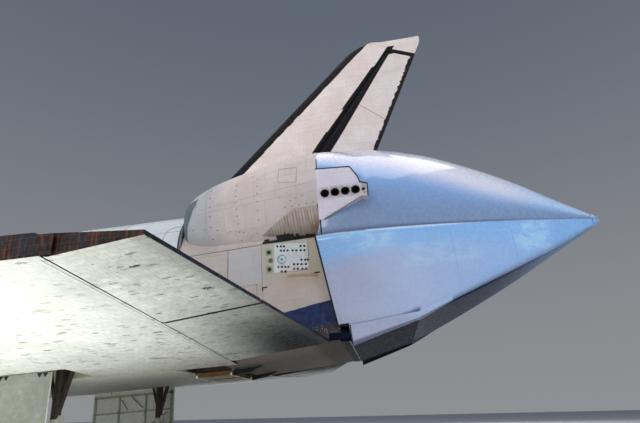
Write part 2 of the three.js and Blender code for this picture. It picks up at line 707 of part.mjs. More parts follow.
function verticalFin() {
  const levels = [FIN_ROOT_Z, 600, 700, 800].map((z) => finRing(z));
  const cap = [finRing(808, 2), finRing(814, 5), finRing(FIN_TOP_Z, 12)];
  const blank = loft([...levels, ...cap]);
  const behindBase = sidePrism(
    [
      [FIN_BASE_END, 470],
      [1640, 470],
      [1640, RUDDER_LOW_Z - RUDDER_GAP + 0.1],
      [FIN_BASE_END, RUDDER_LOW_Z - RUDDER_GAP + 0.1],
    ],
    -40,
    40,
  );
  const boreR = PIN_R + BORE_GAP;
  const bearing = rod(hingeLine(RUDDER_PINS[0]), hingeLine(RUDDER_PINS[1]), boreR, boreR, 24);
  // The foot of the leading edge is a steep fillet behind the bay doors.
  const foot = sidePrism(
    [
      [1200, 480],
      [BAY_END + 1, 480],
      [BAY_END + 1, 512],
      [BAY_END + 26, finFootZ],
      [1200, finFootZ],
    ],
    -40,
    40,
  );
  const tools = [rudderBay(), behindBase, bearing, foot, aftLoft(SEAM), podTool(PORT), podTool(STARBOARD)];
  return cut(blank, ...tools);
}

function rudderTube() {
  const pin = rod(hingeLine(RUDDER_PINS[0] + 0.5), hingeLine(RUDDER_PINS[1] - 0.5), PIN_R, PIN_R, 12);
  const [low, high] = [RUDDER_LOW_Z + 0.8, RUDDER_NOSE_TOP_Z];
  return join(pin, rod(hingeLine(low), hingeLine(high), HINGE_TUBE_R, HINGE_TUBE_R, 12));
}

const PANEL_NOSE = THREE.MathUtils.degToRad(38); // how far round the tube the nose of each half reaches

// One half of the split rudder, outside the hinge tube.
function rudderPanel(side) {
  const stretch = 1 / Math.cos(RUDDER_SWEEP);
  const ring = (z) => {
    const [hinge, half] = [rudderHingeX(z), finHalf(z)];
    const steps = 8;
    const nose = Array.from({ length: steps + 1 }, (_, i) => {
      const a = Math.PI / 2 + (i / steps) * PANEL_NOSE;
      return [hinge + half * stretch * Math.cos(a), side * Math.max(0.25, half * Math.sin(a)), z];
    });
    const web = [hinge, side * 0.25, z];
    return [[finTailX(z), side * 0.25, z], [finTailX(z), side * TAIL_HALF, z], ...nose, web];
  };
  const outline = sidePrism(rudderOutline, -30, 30);
  const bore = rod(
    [rudderHingeX(560), 0, 560],
    [rudderHingeX(820), 0, 820],
    HINGE_TUBE_R + SEAM,
    HINGE_TUBE_R + SEAM,
    24,
  );
  return cut(loft([ring(570), ring(820)]).intersect(outline), bore);
}

// Manoeuvring-engine pod: station, centre y, centre z, half width, half height
const POD = [
  [1309, 88, 462, 9, 15],
  [1315, 86, 464, 24, 30],
  [1328, 82, 465.5, 36, 43],
  [1350, 79, 467, 46, 54],
  [1385, 77, 471, 55, 61],
  [1430, 78, 474, 62, 67],
  [1470, 80, 476, 66, 71],
  [1500, 82, 476, 68, 73],
];
const POD_STEPS = 24;

function podBlank(side, grow = 0) {
  return loft(
    POD.map(([x, y, z, halfWidth, halfHeight], row) =>
      Array.from({ length: POD_STEPS }, (_, i) => {
        const a = (i / POD_STEPS) * Math.PI * 2;
        const end = row === POD.length - 1 ? grow : 0;
        const [across, up] = [(halfWidth + grow) * Math.cos(a), (halfHeight + grow) * Math.sin(a)];
        return [x + end, side * (y + across), z + up];
      }),
    ),
  );
}
const podTool = (side) => join(podBlank(side, SEAM), thrusterBox(side, SEAM));
const housingGap = (side) => thrusterBox(side, SEAM * 2);

// The thruster housing's side view, aft of the pod. The tail fairing is cut round the same outline.
const HOUSING = [
  [1499, 424],
  [1512, 424],
  [1561, 449],
  [1570, 448],
  [1571, 466],
  [1562, 469],
  [1559, 479],
  [1551, 493],
  [1499, 496],
];
const HOUSING_FACE_Y = 150;

function thrusterBox(side, grow = 0) {
  const [middleX, middleZ] = [1530, 462];
  const spread = HOUSING.map(([x, z]) => [
    x + Math.sign(x - middleX) * grow,
    z + Math.sign(z - middleZ) * grow,
  ]);
  return sidePrism(spread, side * 121, side * (HOUSING_FACE_Y + grow));
}

const omsPod = (side) => cut(join(podBlank(side), thrusterBox(side)), aftLoft(SEAM, BAY_END, AFT_END + 80));

// Tail fairing: station, bottom z, bottom half width, bottom corner radius, chine z and half width, top z
const CONE = [
  [1496, 280.5, 124, 3, 403, 151, 562],
  [1530, 281.5, 125, 4, 405.5, 147.5, 571],
  [1570, 288, 122.5, 5, 408.3, 138.5, 575],
  [1613, 300.5, 117, 7, 411.4, 125.5, 573],
  [1665, 319.5, 104, 10, 415.1, 107, 561],
  [1709, 337.5, 90, 12, 418.3, 90.5, 543],
  [1751, 355.5, 73.5, 12, 421.2, 74, 522.5],
  [1791, 374, 56, 11, 424, 56.5, 500.5],
  [1829, 393, 38, 9, 426.6, 39, 476],
  [1862, 409.5, 22, 7, 429, 23.5, 455.5],
  [1885, 421, 10.5, 4, 430.5, 12, 441.5],
];
const CONE_TIP_START = 1885;
const CHINE_SEAM = 0.06;

function coneUpperRing([x, , , , chine, half, top]) {
  const steps = 10;
  const arc = Array.from({ length: 2 * steps + 1 }, (_, i) => {
    const a = (i / (2 * steps)) * Math.PI;
    return [x, half * Math.cos(a), chine + CHINE_SEAM + (top - chine) * Math.sin(a)];
  });
  return arc;
}

function coneLowerRing([x, bottom, lowHalf, corner, chine, half]) {
  const side = [
    [lowHalf - corner, bottom],
    [lowHalf - corner * 0.3, bottom + corner * 0.3],
    [lowHalf + corner * 0.1, bottom + corner],
    [half, chine],
  ];
  return [...side.map(([y, z]) => [x, y, z]), ...[...side].reverse().map(([y, z]) => [x, -y, z])];
}

const CONE_WALL = 4;
const CONE_FRAME_END = 1520; // solid frames ahead of this seat the fairing on the fuselage
const coneRow = (x) => [x, ...[1, 2, 3, 4, 5, 6].map((column) => lookUp(CONE, x, column))];
const coneInside = [coneRow(CONE_FRAME_END), ...CONE.filter(([x]) => x > CONE_FRAME_END && x < 1840)];

function coneUpper() {
  const shell = loft(CONE.map(coneUpperRing));
  const hollow = loft(
    coneInside.map(([x, bottom, low, corner, chine, half, top]) =>
      coneUpperRing([x, bottom, low, corner, chine - 3, half - CONE_WALL, top - CONE_WALL]),
    ),
  );
  const ahead = box(1480, 1500, -200, 200, 380, 620);
  const round = [PORT, STARBOARD].flatMap((side) => [housingGap(side), podTool(side)]);
  return cut(shell, hollow, ahead, aftLoft(SEAM), ...round);
}

const FLAP_BAY = [
  [1490, 250],
  [1617, 250],
  [1617, 309],
  [1545, 300.5],
  [1490, 300.5],
];

function coneLower() {
  const shell = loft(CONE.map(coneLowerRing));
  const hollow = loft(
    coneInside.map(([x, bottom, low, corner, chine, half]) =>
      coneLowerRing([x, bottom + CONE_WALL, low - CONE_WALL, corner, chine + 3, half - CONE_WALL]),
    ),
  );
  const bayWall = FLAP_BAY.map(([x, z]) => [x > 1600 ? x + CONE_WALL : x, z > 260 ? z + CONE_WALL : z]);
  const room = cut(hollow, sidePrism(bayWall, -121.2 - CONE_WALL, 121.2 + CONE_WALL));
  // The front edge leans aft towards the bottom.
  const ahead = sidePrism(
    [
      [1480, 260],
      [1526, 260],
      [1513, 302],
      [1497.5, 404],
      [1480, 430],
    ],
    -200,
    200,
  );
  const bay = sidePrism(FLAP_BAY, -121.2, 121.2);
  return cut(shell, room, ahead, bay, aftLoft(SEAM), housingGap(PORT), housingGap(STARBOARD));
}

// The blunt end of the fairing. Each row gives the station and the share of the last section's size.
function coneTip() {
  const [, , , , chine, half, top] = CONE[CONE.length - 1];
  const whole = (x, share) => {
    const middle = CONE_TIP_Z - 1 + (chine - CONE_TIP_Z + 1) * share;
    const crown = CONE_TIP_Z + (top - CONE_TIP_Z) * share;
    const upper = coneUpperRing([x, 0, 0, 0, middle, half * share, crown]);
    const zero = upper[0][2];
    const lower = upper.slice(1, -1).map(([, y, z]) => [x, y, zero - (z - zero) * 0.9]);
    return [...upper, ...lower.reverse()];
  };
  const rows = [
    [CONE_TIP_START + SEAM, 1],
    [1891, 0.72],
    [1896.5, 0.4],
    [CONE_TIP_X, 0.1],
  ];
  return loft(rows.map(([x, share]) => whole(x, share)));
}

// Landing gear
const TYRE = {
  main: { r: MAIN_TYRE_R, width: 15.6, offset: 17.5 },
  nose: { r: NOSE_TYRE_R, width: 8.8, offset: 11.5 },
};
const RIM_SHARE = 0.52;
const MAIN_Z = axleZ(MAIN_AXLE.x, MAIN_TYRE_R);
const NOSE_Z = axleZ(NOSE_AXLE_X, NOSE_TYRE_R);

// Turns a wheel made at the origin so that one flat of its tread faces the ground, and moves it to its axle.
const onAxle = (solid, x, y, z) =>
  solid.rotate([0, THREE.MathUtils.radToDeg(NOSE_DOWN) + 180 / TYRE_SIDES, 0]).translate([x, y, z]);

// A tyre as a ring turned about the axle, which runs along y.
function tyre({ r, width }, x, y, z) {
  const inner = r * RIM_SHARE;
  const half = width / 2;
  const profile = [
    [inner, -half * 0.82],
    [r * 0.84, -half],
    [r, -half * 0.5],
    [r, half * 0.5],
    [r * 0.84, half],
    [inner, half * 0.82],
    [inner, -half * 0.82],
  ].map(([radius, along]) => new THREE.Vector2(radius, along));
  return onAxle(solidOf(new THREE.LatheGeometry(profile, TYRE_SIDES)), x, y, z);
}

// Both rims of a pair, joined by the turning sleeve on the axle.
function rims({ r, width, offset }, x, y, z, sleeve) {
  const rimR = r * RIM_SHARE - SEAM;
  const rim = (at) => rod([0, at - width * 0.4, 0], [0, at + width * 0.4, 0], rimR, rimR, TYRE_SIDES);
  const tube = rod([0, -offset, 0], [0, offset, 0], sleeve, sleeve, 16);
  return onAxle(join(rim(-offset), rim(offset), tube), x, y, z);
}

const LEG = {
  main: { r: 5.6, piston: 4, collar: 6.6, sleeve: 2.6, foot: 4.4 },
  nose: { r: 4.2, piston: 2.9, collar: 5, sleeve: 1.9, foot: 3.3 },
};

// The eye at the foot of a leg, round the wheels' sleeve.
const legEye = (x, y, z, size, sleeve, halfWidth) =>
  cut(
    rod([x, y - halfWidth, z], [x, y + halfWidth, z], size, size, 16),
    rod([x, y - 20, z], [x, y + 20, z], sleeve + BORE_GAP, sleeve + BORE_GAP, 24),
  );

function mainLeg(side) {
  const [x, y, z] = [MAIN_AXLE.x, side * MAIN_AXLE.y, MAIN_Z];
  const { r, piston, collar, sleeve, foot } = LEG.main;
  const roof = MAIN_WELL.roof - SEAM;
  const eyeHalf = 7;
  const bore = rod([x, y - 20, z], [x, y + 20, z], sleeve + BORE_GAP, sleeve + BORE_GAP, 24);
  const post = join(
    rod([x, y, 218], [x, y, roof], r, r, 16),
    rod([x, y, 216], [x, y, 222], collar, collar, 16),
    rod([x, y, z], [x, y, 218], piston, piston, 16),
    rod([x + 2, y, 228], [x + 23, y, roof + 4], 3.2, 3.2, 8),
    rod([x - 2, y, 236], [x - 22, y, roof + 4], 2.2, 2.2, 8),
    rod([x, y - side * 2, 236], [x, y - side * 20, roof + 4], 2.2, 2.2, 8),
    box(x + 5, x + 9, y - 2.5, y + 2.5, z - 1, 226),
    box(x + 2, x + 8, y - 2, y + 2, z - 2, z + 2),
    box(x + 4, x + 9, y - 2, y + 2, 221, 226),
  );
  const below = box(x - 80, x + 80, y - 80, y + 80, z - 40, roof);
  return join(cut(post, bore), legEye(x, y, z, foot, sleeve, eyeHalf)).intersect(below);
}

const NOSE_SPLIT_Z = 262;

function noseLeg() {
  const [x, roof] = [NOSE_AXLE_X, NOSE_WELL.roof - SEAM];
  const { r, collar } = LEG.nose;
  return join(
    rod([x, 0, NOSE_SPLIT_Z + 4], [x, 0, roof], r, r, 16),
    rod([x, 0, NOSE_SPLIT_Z + SEAM], [x, 0, NOSE_SPLIT_Z + 6], collar, collar, 16),
    rod([x - 2, 0, 282], [x - 40, 0, roof + 4], 2.4, 2.4, 8),
    rod([x, -2, 290], [x, -16, roof + 4], 1.8, 1.8, 8),
    rod([x, 2, 290], [x, 16, roof + 4], 1.8, 1.8, 8),
  ).intersect(box(x - 80, x + 40, -60, 60, NOSE_SPLIT_Z, roof));
}

function noseFork() {
  const [x, z] = [NOSE_AXLE_X, NOSE_Z];
  const { piston, collar, sleeve, foot } = LEG.nose;
  const bore = rod([x, -20, z], [x, 20, z], sleeve + BORE_GAP, sleeve + BORE_GAP, 24);
  const post = join(
    rod([x, 0, z], [x, 0, NOSE_SPLIT_Z], piston, piston, 16),
    rod([x, 0, NOSE_SPLIT_Z - 4], [x, 0, NOSE_SPLIT_Z], collar, collar, 16),
    box(x + 2, x + 7, -1.5, 1.5, z + 4, NOSE_SPLIT_Z - 1),
  );
  return join(cut(post, bore), legEye(x, 0, z, foot, sleeve, 5.5));
}

// Gear doors stand open beside the wheels, each on two gooseneck arms that reach into the well.
function gearDoor(side, { x0, x1, hingeY, wallY, low, top, thick, arm }) {
  const panel = box(x0, x1, side * hingeY, side * (hingeY + thick), low, top);
  const arms = [0.2, 0.8].map((share) => {
    const x = x0 + (x1 - x0) * share;
    return join(
      box(x - 1.5, x + 1.5, side * (wallY - 4), side * (hingeY + 1), top - 4, top),
      box(x - 1.5, x + 1.5, side * (wallY - 4), side * (wallY - SEAM), top - 4, top + arm),
    );
  });
  return join(panel, ...arms);
}

const MAIN_DOOR = {
  x0: 1040,
  x1: 1190,
  hingeY: 168.5,
  wallY: MAIN_WELL.outer,
  low: 206,
  top: 271.5,
  thick: 2.3,
  arm: 8,
};
const NOSE_DOOR = {
  x0: 307,
  x1: 397,
  hingeY: 24.7,
  wallY: NOSE_WELL.halfWidth,
  low: 256,
  top: 285,
  thick: 1.8,
  arm: 10,
};

// Assembly

const COLOURS = {
  tileWhite: [0xe6e0da, 0.75, 0],
  tileBlack: [0x4a4c50, 0.7, 0],
  belly: [0xc9cdc6, 0.8, 0],
  carbon: [0x5b5855, 0.45, 0.1],
  fairing: [0xdfe3f0, 0.2, 0],
  glass: [0x1b2128, 0.05, 0],
  cabin: [0x7d8790, 0.6, 0],
  bay: [0xd8d8d2, 0.6, 0],
  metal: [0xb4b2aa, 0.4, 0.8],
  tyre: [0x1d1d1f, 0.85, 0],
  rim: [0xc8c9cb, 0.35, 0.9],
};
const materials = Object.fromEntries(
  Object.entries(COLOURS).map(([name, [color, roughness, metalness]]) => [
    name,
    new THREE.MeshStandardMaterial({ name, color, roughness, metalness }),
  ]),
);

function part(parent, name, solid, finish) {
  const geometry = geometryOf(solid);
  const pivot = parent.userData.pivot;
  geometry.translate(-pivot[0], -pivot[1], -pivot[2]);
  geometry.scale(IN, IN, IN);
  geometry.computeVertexNormals();
  const mesh = new THREE.Mesh(geometry, materials[finish]);
  mesh.name = name;
  parent.add(mesh);
}

// A group that turns about an axis through its pivot, both in the vehicle's frame. The limits are in degrees.
function turning(parent, joint, pivot, axis, limits) {
  const group = new THREE.Group();
  const from = parent.userData.pivot;
  group.userData = { joint, pivot, axis: new THREE.Vector3(...axis).normalize().toArray(), limits };
  group.position.set(...pivot.map((value, i) => (value - from[i]) * IN));
  parent.add(group);
  return group;
}

const shuttle = new THREE.Group();
const airframe = new THREE.Group();
airframe.userData = { pivot: [0, 0, 0] };
shuttle.add(airframe);

part(airframe, "nose_cap", bodyLoft(BODY[0][0], NOSE_CAP_END - SEAM), "carbon");
part(airframe, "forward_fuselage", join(forwardFuselage(), ...hatchLugs()), "tileWhite");
part(airframe, "windshield_glass", cabinGlass(box(400, 484, -120, 120, 441, 483)), "glass");
part(airframe, "roof_window_glass", cabinGlass(box(496, 526, -37, 37, 470, 520)), "glass");
part(airframe, "flight_deck", flightDeck(), "cabin");
part(airframe, "payload_bay", midFuselage(), "tileWhite");
part(airframe, "aft_fuselage", aftFuselage(), "tileWhite");
part(airframe, "vertical_fin", verticalFin(), "tileWhite");
part(airframe, "tail_fairing_upper", coneUpper(), "fairing");
part(airframe, "tail_fairing_lower", coneLower(), "fairing");
part(airframe, "tail_fairing_tip", coneTip(), "fairing");
part(airframe, "nose_gear_leg", noseLeg(), "metal");

const hatchPivot = [HATCH.x, HATCH_HINGE.y, HATCH_HINGE.z];
const hatch = turning(airframe, "crew_hatch", hatchPivot, [1, 0, 0], [0, 90]);
part(hatch, "crew_hatch", crewHatch(), "tileWhite");

const flap = turning(airframe, "body_flap", [FLAP.hingeX, 0, FLAP.hingeZ], [0, 1, 0], [0, 34]);
part(flap, "body_flap", bodyFlap(), "belly");

const rudderAxis = [Math.sin(RUDDER_SWEEP), 0, Math.cos(RUDDER_SWEEP)];
const rudderPivot = [RUDDER_FOOT.x, 0, RUDDER_FOOT.z];
const rudder = turning(airframe, "rudder", rudderPivot, rudderAxis, [-27.1, 27.1]);
part(rudder, "rudder_hinge_tube", rudderTube(), "metal");

const steering = turning(airframe, "nose_steering", [NOSE_AXLE_X, 0, NOSE_Z], [0, 0, 1], [-10, 10]);
part(steering, "nose_gear_fork", noseFork(), "metal");
const noseWheels = turning(steering, "nose_wheels", [NOSE_AXLE_X, 0, NOSE_Z], [0, 1, 0], "free");
part(noseWheels, "nose_rims", rims(TYRE.nose, NOSE_AXLE_X, 0, NOSE_Z, LEG.nose.sleeve), "rim");

for (const [side, word] of [
  [PORT, "port"],
  [STARBOARD, "starboard"],
]) {
  part(airframe, `wing_${word}`, wing(side), "belly");
  part(airframe, `wing_leading_edge_${word}`, leadingEdge(side), "carbon");
  part(airframe, `engine_pod_${word}`, omsPod(side), "tileWhite");
  part(airframe, `main_gear_leg_${word}`, mainLeg(side), "metal");
  part(airframe, `main_gear_door_${word}`, gearDoor(side, MAIN_DOOR), "belly");
  part(airframe, `nose_gear_door_${word}`, gearDoor(side, NOSE_DOOR), "tileBlack");

  const wheelY = side * MAIN_AXLE.y;
  const wheels = turning(airframe, `main_wheels_${word}`, [MAIN_AXLE.x, wheelY, MAIN_Z], [0, 1, 0], "free");
  part(wheels, `main_rims_${word}`, rims(TYRE.main, MAIN_AXLE.x, wheelY, MAIN_Z, LEG.main.sleeve), "rim");
  for (const [offset, place] of [
    [-TYRE.main.offset, "inner"],
    [TYRE.main.offset, "outer"],
  ]) {
    const ring = tyre(TYRE.main, MAIN_AXLE.x, wheelY + side * offset, MAIN_Z);
    part(wheels, `main_tyre_${word}_${place}`, ring, "tyre");
  }
  const noseTyre = tyre(TYRE.nose, NOSE_AXLE_X, side * TYRE.nose.offset, NOSE_Z);
  part(noseWheels, `nose_tyre_${word}`, noseTyre, "tyre");

  const [rootPoint, tipPoint] = [ELEVON.root, ELEVON.tip].map((y) => new THREE.Vector3(...hingePoint(y, side)));
  const elevonAxis = tipPoint.sub(rootPoint).multiplyScalar(side).toArray();
  const rootPin = [BRACKETS[0][1] + SEAM, ELEVON.root + 2];
  const splitPins = [
    [ELEVON.split - 3, BRACKETS[1][0] - SEAM],
    [BRACKETS[1][1] + SEAM, ELEVON.split + 3],
  ];
  for (const [place, from, to, pins] of [
    ["inboard", ELEVON.root, ELEVON.split - 2, [rootPin, splitPins[0]]],
    ["outboard", ELEVON.split + 2, ELEVON.tip, [splitPins[1]]],
  ]) {
    const pivot = hingePoint((from + to) / 2, side);
    const group = turning(airframe, `elevon_${place}_${word}`, pivot, elevonAxis, [-35, 20]);
    part(group, `elevon_${place}_${word}`, elevon(side, from, to, pins), "belly");
  }

  const doorPivot = [(CABIN_END + BAY_END) / 2, side * DOOR_HINGE.y, DOOR_HINGE.z];
  const bayDoor = turning(airframe, `payload_door_${word}`, doorPivot, [-side, 0, 0], [0, 175.5]);
  part(bayDoor, `payload_door_${word}`, payloadDoor(side), "tileWhite");

  const brakeAxis = rudderAxis.map((value) => value * side);
  const brake = turning(rudder, `speed_brake_${word}`, rudderPivot, brakeAxis, [0, 49.3]);
  part(brake, `rudder_panel_${word}`, rudderPanel(side), "tileWhite");

  const feedPivot = [FEED_DOOR.x0, side * FEED_DOOR.axisY, FEED_DOOR.axisZ];
  const feed = turning(airframe, `tank_line_door_${word}`, feedPivot, [side, 0, 0], [0, 180]);
  part(feed, `tank_line_door_${word}`, feedDoor(side), "belly");
}

// Stand it on its wheels, and put the origin under the middle of its box.
airframe.rotation.y = -NOSE_DOWN;
const extent = new THREE.Box3().setFromObject(shuttle, true);
const middle = extent.getCenter(new THREE.Vector3());
airframe.position.set(-middle.x, 0, -extent.min.z);

export default shuttle;
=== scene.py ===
"""The looks of a space shuttle orbiter that stands on its gear with a ferry fairing over its tail.

Lengths are in inches of the full-size vehicle, in its station system: x runs aft, y to starboard and z up.
place() turns such points into the frame's metres. Angles are in degrees unless a name says otherwise.
"""

import json
import math

import bmesh
import bpy
import numpy as np
from mathutils import Matrix

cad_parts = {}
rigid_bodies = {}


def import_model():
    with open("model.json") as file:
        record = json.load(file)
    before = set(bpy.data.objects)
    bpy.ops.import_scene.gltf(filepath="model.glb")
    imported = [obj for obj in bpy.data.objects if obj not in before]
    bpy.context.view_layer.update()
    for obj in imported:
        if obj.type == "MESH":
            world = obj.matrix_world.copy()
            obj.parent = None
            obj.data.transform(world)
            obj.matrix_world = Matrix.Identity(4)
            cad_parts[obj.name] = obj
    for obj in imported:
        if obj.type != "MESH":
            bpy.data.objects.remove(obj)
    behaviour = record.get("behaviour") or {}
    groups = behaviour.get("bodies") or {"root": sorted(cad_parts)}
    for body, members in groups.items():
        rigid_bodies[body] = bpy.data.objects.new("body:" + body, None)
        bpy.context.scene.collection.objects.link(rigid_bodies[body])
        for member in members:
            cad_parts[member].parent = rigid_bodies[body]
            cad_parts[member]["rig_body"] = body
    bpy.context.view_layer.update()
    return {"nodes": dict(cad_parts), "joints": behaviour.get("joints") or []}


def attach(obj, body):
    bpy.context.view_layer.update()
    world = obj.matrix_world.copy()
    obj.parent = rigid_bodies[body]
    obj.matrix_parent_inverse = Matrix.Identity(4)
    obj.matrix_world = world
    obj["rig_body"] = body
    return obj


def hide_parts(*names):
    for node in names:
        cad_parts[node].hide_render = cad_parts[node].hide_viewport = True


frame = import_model()
nodes = frame["nodes"]
joints = {joint["name"]: joint for joint in frame["joints"]}
PORT, STARBOARD = -1, 1
SIDES = {"port": PORT, "starboard": STARBOARD}

# From the vehicle's inches to the frame's metres

INCH = 0.0127  # the part is built at half size
NOSE_DOWN = math.radians(3.4)
COS, SIN = math.cos(NOSE_DOWN), math.sin(NOSE_DOWN)
TURN = np.array([[COS, 0, -SIN], [0, 1, 0], [SIN, 0, COS]])
FLAP_HINGE = np.array([1532.0, 0.0, 286.0])
SHIFT = np.array(joints["body_flap_hinge"]["pos_m"]) - TURN @ FLAP_HINGE * INCH


def place(points):
    """Points in vehicle inches as points of the frame, in metres."""
    return np.asarray(points, float) @ TURN.T * INCH + SHIFT


def unplace(points):
    """Points of the frame, in metres, as points in vehicle inches."""
    return (np.asarray(points, float) - SHIFT) @ TURN / INCH


# Camera: low on the port side, looking up at the tail

EYE = (1562.4, -695.3, 196.9)
EYE_RIGHT = (0.98788, 0.13334, -0.07944)
EYE_DOWN = (-0.12562, 0.38633, -0.91376)
EYE_AHEAD = (-0.09115, 0.91267, 0.39840)


def add_camera():
    data = bpy.data.cameras.new("camera")
    data.sensor_width = 36
    data.lens = 26.95
    camera = bpy.data.objects.new("camera", data)
    bpy.context.scene.collection.objects.link(camera)
    axes = np.stack([TURN @ EYE_RIGHT, -TURN @ EYE_DOWN, -TURN @ EYE_AHEAD], 1)
    pose = np.eye(4)
    pose[:3, :3] = axes
    pose[:3, 3] = place(EYE)
    camera.matrix_world = Matrix(pose.tolist())
    bpy.context.scene.camera = camera


add_camera()

# Shapes as arrays of points


def spread(*values):
    """The values as arrays of one shape."""
    return np.broadcast_arrays(*(np.asarray(value, float) for value in values))


def xyz(x, y, z):
    """Points from their three coordinates, brought to one shape."""
    return np.stack(np.broadcast_arrays(x, y, z), -1)


def cubic(rows, at):
    """Columns of a table at the stations `at`, by cubics. The slope at a row is the mean of the two chords
    beside it, each weighted by the other's length."""
    table = np.array(rows, float)
    x, y = table[:, 0], table[:, 1:]
    at = np.clip(np.asarray(at, float), x[0], x[-1])
    step = np.diff(x)[:, None]
    chord = np.diff(y, axis=0) / step
    inner = (chord[1:] * step[:-1] + chord[:-1] * step[1:]) / (step[1:] + step[:-1])
    slope = np.vstack([chord[:1], inner, chord[-1:]])
    i = np.clip(np.searchsorted(x, at) - 1, 0, len(x) - 2)
    h = step[i]
    t = ((at - x[i])[:, None]) / h
    return (
        (1 + 2 * t) * (1 - t) ** 2 * y[i]
        + t * (1 - t) ** 2 * h * slope[i]
        + t * t * (3 - 2 * t) * y[i + 1]
        + t * t * (t - 1) * h * slope[i + 1]
    )


def grid(points, round_=False, shut=False):
    """A surface through points (rows, columns, 3). round_ joins the last column to the first, and shut closes
    the first and last rows with a face each."""
    points = np.asarray(points, float)
    m, n = points.shape[:2]
    i, j = np.meshgrid(np.arange(m - 1), np.arange(n if round_ else n - 1), indexing="ij")
    k = (j + 1) % n
    quads = np.stack([i * n + j, i * n + k, (i + 1) * n + k, (i + 1) * n + j], -1).reshape(-1, 4)
    faces = quads.tolist()
    if shut:
        faces += [list(range(n))[::-1], list(range((m - 1) * n, m * n))]
    return points.reshape(-1, 3), faces


def closed(points):
    """A solid through an array of points: joined round, and closed at its first and last rows."""
    return grid(points, round_=True, shut=True)


def frames(path):
    """Two directions across a path at each of its points: one level, one at right angles to it and the path."""
    path = np.asarray(path, float)
    along = np.gradient(path, axis=0)
    along /= np.linalg.norm(along, axis=1)[:, None]
    span = path[-1] - path[0]
    up = np.array([0, 0, 1.0]) if abs(span[2]) < 0.9 * np.linalg.norm(span) else np.array([1.0, 0, 0])
    level = np.cross(along, up)
    level /= np.linalg.norm(level, axis=1)[:, None]
    return level, np.cross(level, along)


def pipe(path, radius, sides):
    """A round bar along a path. The radius is one number, or one for each point."""
    path = np.asarray(path, float)
    level, rise = frames(path)
    r = np.broadcast_to(np.asarray(radius, float), (len(path),))[:, None, None]
    a = np.arange(sides) * 2 * np.pi / sides
    ring = np.cos(a)[None, :, None] * level[:, None] + np.sin(a)[None, :, None] * rise[:, None]
    return closed(path[:, None] + r * ring)


def bar(a, b, radius, sides):
    """A round bar between two points."""
    return pipe([a, b], radius, sides)


def bend(*points, steps=6):
    """A path through the points, rounded by a cubic between each two of them."""
    points = np.array(points, float)
    t = np.arange(len(points))
    return cubic(np.c_[t, points], np.linspace(0, len(points) - 1, steps * (len(points) - 1) + 1))


def lathe(profile, centre, axis, sides):
    """A profile of (radius, along) points turned about an axis through the centre. A face closes each end,
    unless the profile ends where it starts."""
    profile = np.asarray(profile, float)
    ring = np.allclose(profile[0], profile[-1])
    a = np.arange(sides) * 2 * np.pi / sides
    r, h = profile[:, 0][:, None], profile[:, 1][:, None]
    across, up, along = r * np.cos(a), r * np.sin(a), np.broadcast_to(h, (len(profile), sides))
    order = {"x": (along, across, up), "y": (across, along, up), "z": (across, up, along)}[axis]
    return grid(np.stack(order, -1) + np.asarray(centre, float), round_=True, shut=not ring)


def drum(x, z, radius, start, end, sides):
    """A round bar across the vehicle, between two distances from the keel line."""
    return lathe([(radius, start), (radius, end)], (x, 0, z), "y", sides)


def strip(path, out, width, height, sink=0.05):
    """A flat strip along a path on a surface: a rectangle that rises by `height` along `out`."""
    path = np.asarray(path, float)
    out = np.broadcast_to(np.asarray(out, float), path.shape)
    out = out / np.linalg.norm(out, axis=1)[:, None]
    along = np.gradient(path, axis=0)
    across = np.cross(along, out)
    across /= np.linalg.norm(across, axis=1)[:, None]
    w = np.broadcast_to(np.asarray(width, float), (len(path),))[:, None] / 2
    corners = [path - across * w - out * sink, path + across * w - out * sink]
    corners += [path + across * w + out * height, path - across * w + out * height]
    return closed(np.stack(corners, 1))


def prism(outline, low, high, axis="y"):
    """A flat outline given thickness along an axis. The outline's two numbers are the other two coordinates,
    in the order x, y, z."""
    outline = np.asarray(outline, float)
    rows = []
    for depth in (low, high):
        columns = [outline[:, 0], outline[:, 1]]
        columns.insert({"x": 0, "y": 1, "z": 2}[axis], np.full(len(outline), float(depth)))
        rows.append(np.stack(columns, -1))
    return closed(np.stack(rows))


def block(x0, x1, y0, y1, z0, z1):
    """A rectangular block between two corners."""
    return prism([(x0, y0), (x1, y0), (x1, y1), (x0, y1)], min(z0, z1), max(z0, z1), "z")


# Pieces


def link(obj):
    bpy.context.scene.collection.objects.link(obj)
    return obj


def read(items, name, width=3, kind=np.float32):
    values = np.zeros((len(items), width), kind)
    items.foreach_get(name, values.ravel())
    return values


def read_numbers(items, name):
    return read(items, name, 1, np.int32)[:, 0]


def pattern_map(mesh):
    """A UV map in inches: each face takes the two coordinates that it faces least, so tiles keep their size."""
    normals = np.abs(read(mesh.polygons, "normal") @ TURN)
    totals = read_numbers(mesh.polygons, "loop_total")
    facing = np.repeat(np.argmax(normals * (0.8, 1, 1), axis=1), totals)
    p = unplace(read(mesh.vertices, "co"))[read_numbers(mesh.loops, "vertex_index")]
    uv = np.where((facing == 0)[:, None], p[:, 1:], np.where((facing == 1)[:, None], p[:, [0, 2]], p[:, :2]))
    layer = mesh.uv_layers.new(name="pattern")
    layer.data.foreach_set("uv", uv.astype(np.float32).ravel())


def finish_mesh(mesh, finish, sharp, choose):
    """Gives a mesh its pattern map, its materials and smooth shading up to the angle `sharp`. choose takes
    the x, y and z of the faces' middles and normals, in vehicle inches, and numbers each face's material."""
    pattern_map(mesh)
    for material in finish if isinstance(finish, list) else [finish]:
        mesh.materials.append(material)
    if choose:
        middle, normal = read(mesh.polygons, "center"), read(mesh.polygons, "normal")
        index = choose(unplace(middle).T, (normal @ TURN).T)
        mesh.polygons.foreach_set("material_index", np.asarray(index, np.int32))
    mesh.shade_smooth()
    mesh.set_sharp_from_angle(angle=math.radians(sharp))


